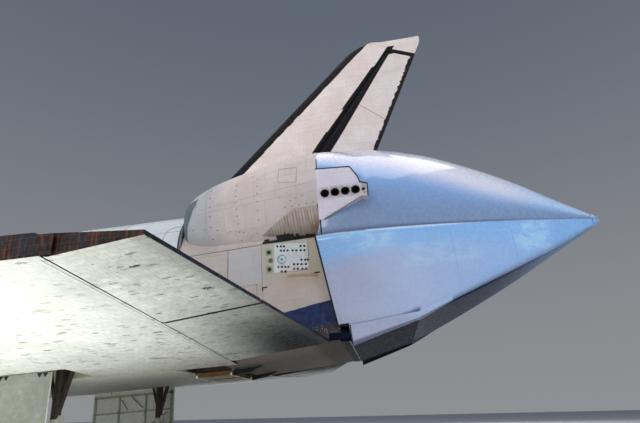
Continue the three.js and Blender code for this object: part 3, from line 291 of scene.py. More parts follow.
def mesh_of(name, parts, merge=0.0, outwards=True):
    """A mesh from parts, with points nearer than merge joined, and faces turned outwards where they close."""
    faces, start = [], 0
    for points, part_faces in parts:
        faces += [[start + i for i in face] for face in part_faces]
        start += len(points)
    mesh = bpy.data.meshes.new(name)
    mesh.from_pydata(place(np.concatenate([points for points, _ in parts])).tolist(), [], faces)
    shape = bmesh.new()
    shape.from_mesh(mesh)
    if merge:
        bmesh.ops.remove_doubles(shape, verts=shape.verts, dist=merge * INCH)
    if outwards:
        bmesh.ops.recalc_face_normals(shape, faces=shape.faces)
    shape.to_mesh(mesh)
    shape.free()
    return mesh


MERGE = 0.004  # points nearer than this, in inches, are one


def add_piece(name, parts, finish, stands_for=(), body="airframe", sharp=35, choose=None, shell=0.0):
    """A new piece from parts, each a pair of points in vehicle inches and faces. shell gives an open surface
    that thickness, inwards, in inches."""
    mesh = mesh_of(name, parts, MERGE, not shell)
    finish_mesh(mesh, finish, sharp, choose)
    piece = link(bpy.data.objects.new(name, mesh))
    if shell:
        wall = piece.modifiers.new("wall", "SOLIDIFY")
        wall.thickness = shell * INCH
        wall.offset = -1
    settle(piece, body, stands_for)
    return piece


def settle(piece, body, stands_for):
    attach(piece, body)
    if stands_for:
        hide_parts(*stands_for)


def add_skin(node, finish, sharp, choose=None, shape=None, stations=(), angles=(), hub=(0, 0)):
    """A copy of a CAD node with its points merged, so that it can be shaded smoothly. It may be sliced square
    to the keel line at stations, and lengthwise by planes at angles round the line through hub (y, z). Then
    shape() moves its points, which it takes and gives back in vehicle inches."""
    mesh = nodes[node].data.copy()
    mesh.name = node + "_skin"
    if "custom_normal" in mesh.attributes:
        mesh.attributes.remove(mesh.attributes["custom_normal"])
    while mesh.uv_layers:
        mesh.uv_layers.remove(mesh.uv_layers[0])
    mesh.materials.clear()
    solid = bmesh.new()
    solid.from_mesh(mesh)
    bmesh.ops.remove_doubles(solid, verts=solid.verts, dist=2e-5)
    for x in stations:
        slice_by(solid, (x, 0, 300), (1, 0, 0))
    for angle in angles:
        a = math.radians(angle)
        slice_by(solid, (0, hub[0], hub[1]), (0, -math.sin(a), math.cos(a)))
    if shape or len(stations):
        bmesh.ops.triangulate(solid, faces=solid.faces)
    solid.to_mesh(mesh)
    solid.free()
    if shape:
        moved = place(shape(unplace(read(mesh.vertices, "co"))))
        mesh.vertices.foreach_set("co", moved.astype(np.float32).ravel())
        mesh.update()
    finish_mesh(mesh, finish, sharp, choose)
    piece = link(bpy.data.objects.new(node + "_skin", mesh))
    settle(piece, nodes[node]["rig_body"], [node])
    return piece


def slice_by(solid, point, normal):
    geometry = solid.verts[:] + solid.edges[:] + solid.faces[:]
    bmesh.ops.bisect_plane(
        solid, geom=geometry, dist=1e-6, plane_co=place(point), plane_no=TURN @ np.array(normal, float)
    )


def both_sides(make):
    for word, side in SIDES.items():
        make(word, side)


# Shader graphs


def rgb(code):
    """A colour from its six-digit code, as linear values."""
    value = [int(code[i : i + 2], 16) / 255 for i in (0, 2, 4)]
    return [*(v / 12.92 if v <= 0.04045 else ((v + 0.055) / 1.055) ** 2.4 for v in value), 1.0]


class Graph:
    """Adds nodes to a tree. A value or a colour's code given for an input is set on it; a socket is linked."""

    def __init__(self, tree):
        self.tree = tree

    def add(self, kind, inputs=None, **settings):
        node = self.tree.nodes.new("ShaderNode" + kind)
        for name, value in settings.items():
            setattr(node, name, value)
        for key, value in (inputs or {}).items():
            self.feed(node.inputs[key], value)
        return node

    def feed(self, socket, value):
        if isinstance(value, bpy.types.NodeSocket):
            self.tree.links.new(value, socket)
        else:
            socket.default_value = rgb(value) if isinstance(value, str) else value

    def math(self, operation, a, b=0.0, c=0.0):
        return self.add("Math", {0: a, 1: b, 2: c}, operation=operation).outputs[0]

    def ramp(self, value, low, high, start=0.0, end=1.0):
        """Runs smoothly from start to end while the value runs from low to high."""
        inputs = {"Value": value, "From Min": low, "From Max": high, "To Min": start, "To Max": end}
        return self.add("MapRange", inputs, interpolation_type="SMOOTHSTEP").outputs[0]

    def mix(self, share, a, b, blend="MIX"):
        node = self.add("Mix", {0: share, 6: a, 7: b}, data_type="RGBA", blend_type=blend)
        return node.outputs[2]

    def noise(self, vector, scale, detail=4.0, roughness=0.55, distortion=0.0):
        inputs = {"Vector": vector, "Scale": scale, "Detail": detail, "Roughness": roughness}
        inputs["Distortion"] = distortion
        return self.add("TexNoise", inputs).outputs["Fac"]

    def scaled(self, vector, size, shift=(0, 0, 0), turn=(0, 0, 0)):
        inputs = {"Vector": vector, "Scale": size, "Location": shift, "Rotation": turn}
        return self.add("Mapping", inputs).outputs[0]

    def group(self, name, **inputs):
        node = self.tree.nodes.new("ShaderNodeGroup")
        node.node_tree = bpy.data.node_groups[name]
        for key, value in inputs.items():
            self.feed(node.inputs[key.replace("_", " ")], value)
        return node.outputs

    def at_least(self, a, b):
        return self.math("MAXIMUM", a, b)

    def plus(self, a, b):
        return self.math("ADD", a, b)

    def minus(self, a, b):
        return self.math("SUBTRACT", a, b)

    def over(self, a, b):
        return self.math("DIVIDE", a, b)

    def line(self, value, slope, rise):
        return self.math("MULTIPLY_ADD", value, slope, rise)

    def abs(self, value):
        return self.math("ABSOLUTE", value)

    def times(self, first, *others):
        for other in others:
            first = self.math("MULTIPLY", first, other)
        return first

    def tint(self, colour, mask, code, share=None):
        """The colour, mixed with another where the mask is 1, by the share."""
        return self.mix(mask if share is None else self.times(mask, share), colour, code)

    def layers(self, colour, *layers):
        """The colour under a row of tints, each a mask, a code and a share."""
        for layer in layers:
            colour = self.tint(colour, *layer)
        return colour

    def xyz(self, vector):
        return self.add("SeparateXYZ", {0: vector}).outputs

    def inches(self):
        return self.group("vehicle inches")["Inches"]

    def tiles(self, length, height, joint, wander):
        pattern = self.add("UVMap", uv_map="pattern").outputs[0]
        return self.group("tile field", Pattern=pattern, Length=length, Height=height, Joint=joint, Wander=wander)

    def weather(self, inches, broad, streak):
        return self.group("weathering", Inches=inches, Broad_size=broad, Streak_size=streak)

    def marks(self, vector, cell, size, share):
        return self.group("scattered marks", Vector=vector, Cell=cell, Size=size, Share=share)["Marks"]

    def aft(self, inches, station, height, lean, jog=0.0, pitch=20.0):
        line = {"Station": station, "Height": height, "Lean": lean, "Jog": jog, "Jog_pitch": pitch}
        return self.group("aft of line", Inches=inches, **line)["Aft"]

    def between(self, value, low, high, soft=0.6):
        """1 where the value lies between low and high, with a soft edge."""
        return self.times(self.ramp(value, low - soft, low + soft), self.ramp(value, high - soft, high + soft, 1, 0))

    def finish(self, shader, colour, rough, height, strength, distance):
        """Feeds the shader, with the height as a bump."""
        self.feed(shader["Base Color"], colour)
        self.feed(shader["Roughness"], rough)
        bump = self.add("Bump", {"Height": height, "Strength": strength, "Distance": distance})
        self.feed(shader["Normal"], bump.outputs[0])


def new_group(name, gives, kind="Float", vector="", **values):
    """A shader node group that may take one vector and some values, and gives outputs of one kind."""
    tree = bpy.data.node_groups.new(name, "ShaderNodeTree")
    if vector:
        tree.interface.new_socket(vector, in_out="INPUT", socket_type="NodeSocketVector")
    for label, value in values.items():
        socket = tree.interface.new_socket(label.replace("_", " "), in_out="INPUT", socket_type="NodeSocketFloat")
        socket.default_value = value
    for label in gives:
        tree.interface.new_socket(label, in_out="OUTPUT", socket_type="NodeSocket" + kind)
    return Graph(tree), tree.nodes.new("NodeGroupInput").outputs, tree.nodes.new("NodeGroupOutput").inputs


def build_groups():
    # Where a point is, in vehicle inches
    g, _, out = new_group("vehicle inches", ["Inches"], "Vector")
    place_of = g.add("TexCoord").outputs["Object"]
    start = -(TURN.T @ SHIFT) / INCH
    size = (1 / INCH,) * 3
    g.feed(out["Inches"], g.scaled(place_of, size, start.tolist(), (0, NOSE_DOWN, 0)))

    # Rectangular tiles: the joints between them and a tone for each tile
    values = {"Length": 6, "Height": 6, "Joint": 0.3, "Wander": 0.1}
    g, into, out = new_group("tile field", ["Joints", "Tone"], vector="Pattern", **values)
    shake = g.add("TexNoise", {"Vector": into["Pattern"], "Scale": 0.12, "Detail": 2}).outputs["Color"]
    shake = g.add("VectorMath", {0: shake, 1: (0.5, 0.5, 0.5)}, operation="SUBTRACT").outputs[0]
    shake = g.add("VectorMath", {0: shake, "Scale": into["Wander"]}, operation="SCALE").outputs[0]
    where = g.add("VectorMath", {0: into["Pattern"], 1: shake}, operation="ADD").outputs[0]
    inputs = {"Vector": where, "Color1": (0, 0, 0, 1), "Color2": (1, 1, 1, 1), "Mortar": (0.5, 0.5, 0.5, 1)}
    inputs |= {"Scale": 1, "Mortar Size": into["Joint"], "Mortar Smooth": 0.4}
    inputs |= {"Brick Width": into["Length"], "Row Height": into["Height"]}
    bricks = g.add("TexBrick", inputs, offset=0.5)
    g.feed(out["Joints"], bricks.outputs["Fac"])
    g.feed(out["Tone"], bricks.outputs["Color"])

    # Weathering: broad stains, fine mottling, and streaks that run along the airflow
    values = {"Broad_size": 60, "Streak_size": 3}
    g, into, out = new_group("weathering", ["Broad", "Fine", "Streaks"], vector="Inches", **values)
    broad = g.noise(into["Inches"], g.over(1, into["Broad size"]), 5, 0.6, 0.4)
    fine = g.noise(into["Inches"], 0.22, 6, 0.7)
    along = g.scaled(into["Inches"], (0.07, 1, 1))
    streaks = g.noise(along, g.over(1, into["Streak size"]), 5, 0.65, 0.3)
    g.feed(out["Broad"], g.ramp(broad, 0.36, 0.66))
    g.feed(out["Fine"], g.ramp(fine, 0.3, 0.72))
    g.feed(out["Streaks"], g.ramp(streaks, 0.42, 0.72))

    # Scattered marks: small spots, of which only a share of the cells has one
    g, into, out = new_group("scattered marks", ["Marks"], vector="Vector", Cell=10, Size=0.1, Share=0.3)
    inputs = {"Vector": into["Vector"], "Scale": g.over(1, into["Cell"]), "Randomness": 0.9}
    cells = g.add("TexVoronoi", inputs)
    near = g.math("LESS_THAN", cells.outputs["Distance"], into["Size"])
    lot = g.add("SeparateColor", {0: cells.outputs["Color"]}).outputs[0]
    g.feed(out["Marks"], g.times(near, g.math("LESS_THAN", lot, into["Share"])))

    # How far aft of a leaning line a point is, in inches. The line passes through a station and a height.
    values = {"Station": 0, "Height": 0, "Lean": 1, "Jog": 0, "Jog_pitch": 20}
    g, into, out = new_group("aft of line", ["Aft"], vector="Inches", **values)
    part = g.xyz(into["Inches"])
    rise = g.minus(part["Z"], into["Height"])
    line = g.line(rise, into["Lean"], into["Station"])
    row = g.math("FLOOR", g.over(rise, into["Jog pitch"]))
    lot = g.add("TexWhiteNoise", {"W": row}, noise_dimensions="1D").outputs["Value"]
    jog = g.times(g.minus(lot, 0.5), into["Jog"])
    g.feed(out["Aft"], g.plus(g.minus(part["X"], line), jog))


def new_material(name, **settings):
    """A material with one Principled BSDF. Constant settings go straight on its sockets."""
    material = bpy.data.materials.new(name)
    material.use_nodes = True
    shader = material.node_tree.nodes["Principled BSDF"]
    for key, value in settings.items():
        shader.inputs[key.replace("_", " ")].default_value = value
    return material, Graph(material.node_tree), shader.inputs


def joint_height(g, joints_mask, fine, depth=1, grain=0.15):
    """A height that sinks at the joints and carries a fine grain."""
    return g.line(joints_mask, -depth, g.times(fine, grain))


def white(name, base, stain, panel, joint=0.45, tone=0.1, extra=None):
    """White felt blankets and tile: panels with sewn joints, each of its own tone, stained and speckled."""
    material, g, shader = new_material(name, Specular_IOR_Level=0.22)
    inches = g.inches()
    seams = g.tiles(panel[0], panel[1], joint, 0.5)
    tiles = g.tiles(8, 8, 0.16, 0.3)
    worn = g.weather(inches, 70, 5)
    dots = g.marks(inches, 15, 0.055, 0.28)
    fleck = g.marks(inches, 5, 0.09, 0.1)
    colour = g.layers(base,
        (worn["Broad"], stain, 0.75),
        (seams["Tone"], "8e8a92", tone),
        (tiles["Tone"], "b9b4b4", tone * 0.6),
        (worn["Fine"], "a89c92", 0.12),
        (worn["Streaks"], "8c8784", 0.1))
    lines = g.at_least(g.times(seams["Joints"], 0.2), g.times(tiles["Joints"], 0.07))
    colour = g.layers(colour,
        (lines, "6b6668"),
        (fleck, "7d6f66", 0.3),
        (dots, "37302f", 0.8))
    rough = g.ramp(worn["Fine"], 0, 1, 0.62, 0.85)
    height = joint_height(g, g.at_least(seams["Joints"], g.times(tiles["Joints"], 0.5)), worn["Fine"])
    if extra:
        colour = extra(g, inches, colour)
    g.finish(shader, colour, rough, height, 0.5, 0.004)
    return material


def black(name, base, light, size, extra=None, dust=1):
    """Near-black tiles with paler joints and a few scuffed ones."""
    material, g, shader = new_material(name, Specular_IOR_Level=0.25 * dust)
    inches = g.inches()
    tiles = g.tiles(size, size, 0.22, 0.2)
    worn = g.weather(inches, 30, 2)
    colour = g.layers(base,
        (tiles["Tone"], light, 0.7),
        (worn["Streaks"], "5a5453", 0.25 * dust),
        (tiles["Joints"], "595558", 0.5 * dust))
    height = joint_height(g, tiles["Joints"], worn["Fine"])
    if extra:
        colour = extra(g, inches, colour)
    g.finish(shader, colour, g.ramp(worn["Fine"], 0, 1, 0.38, 0.6), height, 0.6, 0.003)
    return material


HINGE_FOOT = (1508, 598)  # station and height where the rudder's hinge line begins
HINGE_LEAN = math.tan(math.radians(34.83))
TAIL_LEAN = 0.4931


def fin_marks(g, inches, colour):
    """Black edges of the fin: a band behind the leading edge, the strip over the rudder's hinge, the serrated
    trailing edge and the foot of the cap over the rudder."""
    edge = g.ramp(g.aft(inches, 1269, 503, 1, 2.2, 9), 21, 22.4, 1, 0)
    hinge = g.aft(inches, HINGE_FOOT[0], HINGE_FOOT[1], HINGE_LEAN, 5, 41)
    straight = g.aft(inches, HINGE_FOOT[0], HINGE_FOOT[1], HINGE_LEAN)
    x, _, z = g.xyz(inches)
    front = g.ramp(z, 600, 790, -21, -12.5)
    rear = g.minus(straight, g.ramp(z, 596, 800, 10.5, 2.6))
    strip_ = g.times(g.math("GREATER_THAN", g.minus(hinge, front), 0), g.ramp(rear, 0, 0.8, 1, 0))
    strip_ = g.times(strip_, g.between(z, 588, 803))
    tail = g.aft(inches, 1549.4, 503, TAIL_LEAN, 3, 3.4)
    serrated = g.times(g.ramp(tail, -7.2, -6.4), g.between(z, 592, 782))
    under_cap = g.aft(inches, 1643, 795, -2.76)
    cap = g.times(g.between(under_cap, -10, 7.5, 0.8), g.ramp(z, 770, 776))
    cap = g.times(cap, g.ramp(straight, -6, -5))
    covered = g.at_least(g.at_least(edge, strip_), cap)
    noise = g.noise(inches, 0.5, 3)
    # The two halves of the rudder's surface meet on a line that falls aft.
    split = g.line(x, 0.816, g.minus(z, 1972.6))
    split = g.times(g.between(split, -0.5, 0.5, 0.25), g.ramp(straight, 3, 4))
    colour = g.tint(colour, split, "1d191b", 0.85)
    colour = g.mix(covered, colour, g.tint("0a090c", g.ramp(noise, 0.4, 0.6), "161418"))
    rust = g.tint("0f0e14", g.ramp(noise, 0.42, 0.58), "33241f")
    return g.mix(serrated, colour, rust)


def side_marks(g, inches, colour):
    """Marks of the aft fuselage's side: bluish panels, a dark blue patch over the wing's end, rusty smears
    beside the service plate, and its warm brown underside."""
    x, _, z = g.xyz(inches)
    wobble = g.times(g.minus(g.noise(inches, 0.12, 4), 0.5), 9)
    panel = g.times(g.between(x, 1376, 1422), g.between(z, 362, 411))
    low = g.times(g.between(x, 1424, 1500), g.between(z, 336, 365))
    colour = g.layers(colour, (panel, "bcbfc6", 0.62), (low, "c9b6ab", 0.3))
    # The dark blue patch is bounded by a line that climbs slowly aft and one that falls steeply.
    top = g.minus(g.line(x, 0.155, 97.5), z)
    left = g.minus(g.line(z, -1.27, 1854), x)
    patch = g.times(g.ramp(g.plus(top, g.times(wobble, 0.3)), 0, 1), g.ramp(left, -1, 1, 1, 0))
    patch = g.times(patch, g.ramp(x, 1380, 1388))
    colour = g.mix(patch, colour, g.tint("1f2a4d", g.ramp(wobble, -2, 2), "2c3c66"))
    drop = g.plus(g.line(x, 0.06, z), g.times(wobble, 0.22))
    rust = g.times(g.between(x, 1455, 1495, 3), g.between(drop, 452.4, 456.6, 1.2))
    grain = g.ramp(g.noise(inches, 0.35, 5, 0.7), 0.25, 0.5)
    colour = g.tint(colour, g.times(rust, grain), "7f5322", 0.9)
    haze = g.times(g.between(x, 1450, 1499, 6), g.between(z, 352, 372, 6))
    beige = g.times(g.between(x, 1423, 1520), g.between(z, 364, 416))
    colour = g.layers(colour, (haze, "b0895f", 0.22), (beige, "bdb9a2", 0.45))
    corner = g.times(g.ramp(x, 1478, 1490), g.ramp(z, 296, 306, 1, 0))
    specks = g.marks(inches, 2.3, 0.27, 0.55)
    colour = g.mix(g.times(corner, 0.9), colour, g.tint("453d3d", specks, "aca7a8"))
    under = g.ramp(z, 286, 292, 1, 0)
    return g.mix(g.times(under, 0.8), colour, g.tint("463f39", grain, "665d54"))


def pod_marks(g, inches, colour):
    """The pod runs from a cool white nose, which is painted cool light, to a pinkish tail, with a patch of bare
    tiles low on its front and a few brown stains."""
    x, _, z = g.xyz(inches)
    wobble = g.times(g.minus(g.noise(inches, 0.09, 3), 0.5), 20)
    # Painted cool light on the pod's front.
    painted_cool_light = g.ramp(g.plus(x, wobble), 1345, 1385, 1, 0)
    colour = g.mix(g.times(painted_cool_light, 0.75), colour, "c3dae6", "MULTIPLY")
    stain = g.ramp(g.noise(inches, 0.06, 6, 0.7), 0.58, 0.68)
    colour = g.tint(colour, stain, "a58a78", 0.3)
    lean = g.line(g.minus(z, 440), 0.35, 1318)
    bare = g.ramp(g.minus(g.plus(x, g.times(wobble, 0.35)), lean), -1, 1, 1, 0)
    bare = g.times(bare, g.between(z, 425, 492, 2))
    colour = g.mix(g.times(bare, 0.9), colour, g.tint("1f2b33", g.noise(inches, 0.4), "6d828b"))
    return colour


def edge_marks(g, inches, colour):
    """Rusty streaks and bluish patches on the dark tiles of the wing's end."""
    streak = g.ramp(g.noise(g.scaled(inches, (1, 1, 0.1)), 0.34, 5, 0.65), 0.53, 0.63)
    bloom = g.ramp(g.noise(inches, 0.05, 4), 0.54, 0.66)
    return g.layers(colour,
        (bloom, "3b4766", 0.3),
        (0.35, "16100f"),
        (streak, "7f4223", 0.45))


def ribbed_marks(g, inches, colour):
    """Brown streaks that run down the ribs, and an orange-brown blotch at the aft foot."""
    x, _, z = g.xyz(inches)
    lean = g.line(z, 0.05, x)
    beat = g.abs(g.minus(g.math("FRACT", g.over(lean, 3.9)), 0.5))
    colour = g.tint(colour, g.ramp(beat, 0.36, 0.47), "4f3f36", 0.5)
    where = g.add("CombineXYZ", {0: lean, 2: g.times(z, 0.12)}).outputs[0]
    streaks = g.ramp(g.noise(where, 0.3, 4, 0.6), 0.45, 0.65)
    foot = g.ramp(z, 414, 440, 0.7, 0)
    colour = g.layers(colour, (streaks, "6c5a4d", 0.4), (foot, "7d7062"))
    blotch = g.times(g.ramp(x, 1488, 1504), g.ramp(z, 418, 436, 1, 0))
    blotch = g.times(blotch, g.ramp(g.noise(inches, 0.2, 4), 0.4, 0.55))
    return g.tint(colour, blotch, "9a6322", 0.7)


def housing_marks(g, inches, colour):
    """A tan scorched band round the thrusters."""
    x, _, z = g.xyz(inches)
    band = g.times(g.between(z, 451, 467, 3), g.ramp(x, 1504, 1514))
    grain = g.ramp(g.noise(inches, 0.22, 5, 0.7), 0.32, 0.6)
    return g.tint(colour, g.times(band, grain), "8d8269", 0.7)


def body_marks(g, inches, colour):
    """Forward fuselage: black tiles below a line that rises towards the nose, and round the windshield."""
    x, y, z = g.xyz(inches)
    low = g.minus(g.ramp(x, 268, 520, 356, 300), z)
    low = g.ramp(low, -0.6, 0.6)
    ahead = g.times(g.between(x, 404, 478), g.between(z, 440, 490))
    ahead = g.times(ahead, g.between(y, -78, 78))
    bonnet = g.times(g.between(x, 378, 420), g.ramp(z, 412, 416))
    bonnet = g.times(bonnet, g.between(y, -40, 40))
    roof = g.times(g.between(x, 496, 526), g.between(y, -36, 36))
    roof = g.times(roof, g.ramp(z, 480, 484))
    covered = g.at_least(g.at_least(low, ahead), g.at_least(bonnet, roof))
    tiles = g.tiles(6, 6, 0.22, 0.2)
    dark = g.tint("17181b", tiles["Tone"], "2e2e33")
    dark = g.tint(dark, tiles["Joints"], "595558", 0.5)
    return g.mix(covered, colour, dark)


def tile(name, base, shade, stain, smudge, extra=None):
    """Matt tiles of the lower surfaces: a tile grid with uneven tones, smudges drawn out along the airflow,
    scattered chips, and broad darker areas."""
    material, g, shader = new_material(name, Specular_IOR_Level=0.22)
    inches = g.inches()
    tiles = g.tiles(6.4, 6.4, 0.34, 0.15)
    blocks = g.tiles(39, 25.6, 0.5, 0.2)
    worn = g.weather(inches, 95, 7)
    drawn = g.scaled(inches, (0.5, 1.2, 1))
    smudges = g.marks(drawn, 7.5, 0.26, 0.38)
    small = g.marks(g.scaled(inches, (0.8, 1.3, 1)), 5, 0.2, 0.3)
    chips = g.marks(drawn, 12, 0.2, 0.15)
    ragged = g.ramp(g.noise(inches, 0.55, 5, 0.75), 0.38, 0.5)
    patches = g.ramp(g.noise(g.scaled(inches, (0.6, 1.2, 1)), 0.05, 5, 0.6), 0.62, 0.66)
    colour = g.layers(base,
        (worn["Broad"], shade, 0.8),
        (tiles["Tone"], stain, 0.24),
        (blocks["Tone"], stain, 0.08),
        (worn["Fine"], stain, 0.22),
        (worn["Streaks"], stain, 0.1))
    grain = g.ramp(g.noise(inches, 0.7, 6, 0.85), 0.5, 0.62)
    colour = g.tint(colour, grain, "73756f", 0.2)
    lines = g.at_least(g.times(tiles["Joints"], 0.16), g.times(blocks["Joints"], 0.14))
    colour = g.tint(colour, lines, "5f625e")
    marks = g.at_least(smudges, small)
    colour = g.layers(colour,
        (g.times(marks, ragged), "6e6f69", smudge),
        (g.times(patches, ragged), "5d5e58", smudge * 0.8),
        (g.times(chips, ragged), "333433", smudge * 1.25))
    if extra:
        colour = extra(g, inches, colour)
    height = joint_height(g, g.at_least(tiles["Joints"], blocks["Joints"]), ragged, 1, 0.2)
    g.finish(shader, colour, g.ramp(worn["Fine"], 0, 1, 0.5, 0.8), height, 0.5, 0.003)
    return material


ELEVON_END, ELEVON_SWEEP = 1525.2, 0.1773  # station of the trailing edge at the keel line, and its slope


def elevon_marks(g, inches, colour):
    """Painted shade darkens the inboard end of the lower surface, and the tiles turn a darker grey towards the
    trailing edge.
    """
    x, y, _ = g.xyz(inches)
    y = g.abs(y)
    # Painted shade: the inboard end of the lower surface, aft, darkens towards near black.
    drift = g.times(g.minus(g.noise(inches, 0.03, 4), 0.5), 60)
    root = g.ramp(g.plus(y, drift), 170, 400, 0.95, 0)
    root = g.times(root, g.ramp(x, 1388, 1462))
    colour = g.tint(colour, root, "191b20")
    tail = g.minus(g.line(y, -ELEVON_SWEEP, ELEVON_END), x)
    edge = g.ramp(tail, 4, 14, 0.35, 0)
    return g.tint(colour, edge, "6a6560")


def wing_marks(g, inches, colour):
    """A dark line beside the elevon's hinge, a browner belly towards the keel, and greyer tiles outboard."""
    x, y, _ = g.xyz(inches)
    y = g.abs(y)
    line = g.times(g.between(x, 1376.6, 1377.4, 0.3), 0.25)
    keel = g.ramp(y, 105, 190, 0.42, 0)
    colour = g.layers(colour, (line, "4a4a47"), (keel, "8b8376"))
    outer = g.at_least(g.ramp(y, 240, 420, 0, 0.72), g.ramp(x, 1240, 1330, 0.4, 0))
    mottle = g.ramp(g.noise(inches, 0.05, 5, 0.65), 0.35, 0.65, 0.75, 1)
    return g.tint(colour, g.times(outer, mottle), "a3a69f")


def carbon_material():
    """Reinforced carbon panels: glazed dark brown with pale joints, orange-brown streaks and a bluish bloom."""
    material, g, shader = new_material("carbon_edge", Coat_Weight=0.25, Coat_Roughness=0.2)
    inches = g.inches()
    _, y, _ = g.xyz(inches)
    y = g.abs(y)
    beat = g.math("FRACT", g.over(y, 13.6))
    joint = g.ramp(g.abs(g.minus(beat, 0.5)), 0.475, 0.488)
    streak = g.ramp(g.noise(g.scaled(inches, (0.5, 0.5, 0.05)), 0.35, 5, 0.6), 0.5, 0.66)
    bloom = g.ramp(g.noise(inches, 0.045, 4), 0.5, 0.7)
    fine = g.noise(inches, 0.8, 5, 0.7)
    colour = g.layers("2a211f",
        (g.ramp(fine, 0.3, 0.7), "3d322e"),
        (bloom, "4c5468", 0.4),
        (streak, "a0663c", 0.55),
        (joint, "b5aca2", 0.75))
    height = joint_height(g, joint, fine, 1, 0.1)
    g.finish(shader, colour, g.ramp(fine, 0.3, 0.7, 0.3, 0.5), height, 0.6, 0.004)
    return material


def paint_material(name="fairing_paint", shade=0):
    """Glossy white paint of the ferry fairing, with faint sheet joints and fine dust. Its lavender and blue
    tones are painted bluish light, its lighter top a painted highlight, its soft bluish areas painted
    reflections and its darker underside painted shade. shade adds more painted shade, strongest towards
    its front."""
    settings = {"Coat_Weight": 0.9, "Coat_Roughness": 0.05, "Coat_IOR": 1.5}
    if shade:
        settings = {"Coat_Weight": 0, "Specular_IOR_Level": 0.02}
    material, g, shader = new_material(name, **settings)
    inches = g.inches()
    worn = g.weather(inches, 120, 9)
    x, _, z = g.xyz(inches)
    up = g.xyz(g.add("TexCoord").outputs["Normal"])["Z"]
    tail = g.ramp(x, 1500, 1800)
    # Painted light: the paint is white, and its blue and lavender tones are painted bluish light. Faces that look up
    # are painted lighter, up to a painted highlight along the crown that is lavender-white and turns pale blue aft.
    upper = g.tint("879cbd", g.ramp(up, 0.02, 0.36), "8cb4e8")
    lifted = g.line(tail, 0.22, up)
    crown = g.tint("cfcfe6", g.ramp(x, 1570, 1670), "f2effb")
    crown = g.tint(crown, g.ramp(x, 1740, 1850), "c4e0ff")
    upper = g.mix(g.ramp(lifted, 0.34, 0.6), upper, crown)
    under_chine = g.minus(g.line(x, 0.0715, 295.6), z)
    drift = g.times(g.minus(worn["Broad"], 0.5), 12)
    # Painted bluish light: below the chine the paint turns bluer aft, and a lighter blue band under the chine is a
    # painted reflection.
    lower = g.tint("b5bbd6", tail, "a2c6f2")
    band = g.ramp(g.plus(under_chine, drift), 14, 46, 1, 0)
    lower = g.tint(lower, band, "94c5f5")
    # Painted reflections, pale sky-blue patches: from station, to station, from depth, to depth under the chine,
    # strength
    torn = g.ramp(g.noise(g.scaled(inches, (1, 1, 1.9)), 0.045, 2.6, 0.55), 0.37, 0.6)
    painted_reflections = ((1531, 1592, 2, 25, 0.75), (1602, 1700, 22, 50, 0.4), (1754, 1806, -2, 42, 0.8))
    for start, end, top, foot, share in painted_reflections:
        painted_reflection = g.times(g.between(x, start, end, 12), g.between(under_chine, top, foot, 5))
        lower = g.tint(lower, g.times(painted_reflection, torn), "bfe6ff", share)
    colour = g.mix(g.ramp(under_chine, -1, 1), upper, lower)
    colour = g.tint(colour, g.between(under_chine, -1, 0.5, 0.3), "7289b4", 0.75)
    # Painted shade: faces that look down are darkened, less so towards the tip.
    painted_underside_shade = g.times(g.ramp(up, -0.72, -0.2, 0.8, 0), g.ramp(x, 1700, 1860, 1, 0.25))
    colour = g.layers(colour,
        (painted_underside_shade, "4a5c84"),
        (worn["Streaks"], "a7aabf", 0.1),
        (worn["Fine"], "8f90a5", 0.06))
    for station in (1668, 1751, 1829):
        seam = g.between(x, station - 0.35, station + 0.35, 0.2)
        colour = g.tint(colour, seam, "7f849b", 0.14)
    # Painted shade: darker towards the bottom edge, below height 312.
    low = g.ramp(z, 296, 312, 0.3, 0)
    colour = g.tint(colour, low, "8d8b99")
    # Painted shade on the underside, strongest towards the front.
    if shade:
        colour = g.tint(colour, g.ramp(x, 1660, 1850, shade, 0.3), "0e193a")
    wave = g.noise(g.scaled(inches, (0.4, 1, 1)), 0.02, 2)
    g.finish(shader, colour, g.ramp(worn["Fine"], 0, 1, 0.2, 0.34), wave, 0.12, 0.03)
    return material


def metal(name, base, grime, rough=(0.5, 0.7), share=0.4, metallic=0, brushed=0, scuff=0.18):
    """Painted or bare metal with grime that gathers in patches and fine scratches."""
    material, g, shader = new_material(name, Metallic=metallic)
    inches = g.inches()
    dirt = g.ramp(g.noise(inches, 0.16, 6, 0.7), 0.44, 0.68)
    fine = g.noise(g.scaled(inches, (1, 1, 1 + 6 * brushed)), 1.6, 4, 0.7)
    scratch = g.ramp(g.noise(g.scaled(inches, (0.3, 0.3, 3)), 1.1, 3, 0.8), 0.62, 0.7)
    colour = g.layers(base,
        (dirt, grime, share),
        (g.ramp(fine, 0.35, 0.7), grime, 0.16),
        (scratch, "efeee8", scuff))
    g.finish(shader, colour, g.ramp(g.plus(dirt, fine), 0.4, 1.4, rough[0], rough[1]), fine, 0.15, 0.0015)
    return material


def rubber_material():
    """Worn tyre rubber: near black with dusty grey patches and a fine grain."""
    material, g, shader = new_material("tyre_rubber")
    inches = g.inches()
    dust = g.ramp(g.noise(inches, 0.25, 6, 0.7), 0.4, 0.7)
    grain = g.noise(inches, 2.2, 4, 0.7)
    colour = g.tint("1c1c1e", dust, "4a4744", 0.5)
    g.finish(shader, colour, g.ramp(dust, 0, 1, 0.62, 0.9), grain, 0.35, 0.0015)
    return material


def glass_material():
    """Dark smoked panes with a light film of dust."""
    settings = {"Transmission_Weight": 0.75, "IOR": 1.5, "Coat_Weight": 0.5, "Coat_Roughness": 0.03}
    material, g, shader = new_material("cabin_glass", **settings)
    film = g.ramp(g.noise(g.inches(), 0.1, 5, 0.6), 0.4, 0.75)
    g.feed(shader["Base Color"], g.tint("31404a", film, "6b7780", 0.4))
    g.feed(shader["Roughness"], g.ramp(film, 0, 1, 0.03, 0.09))
    return material


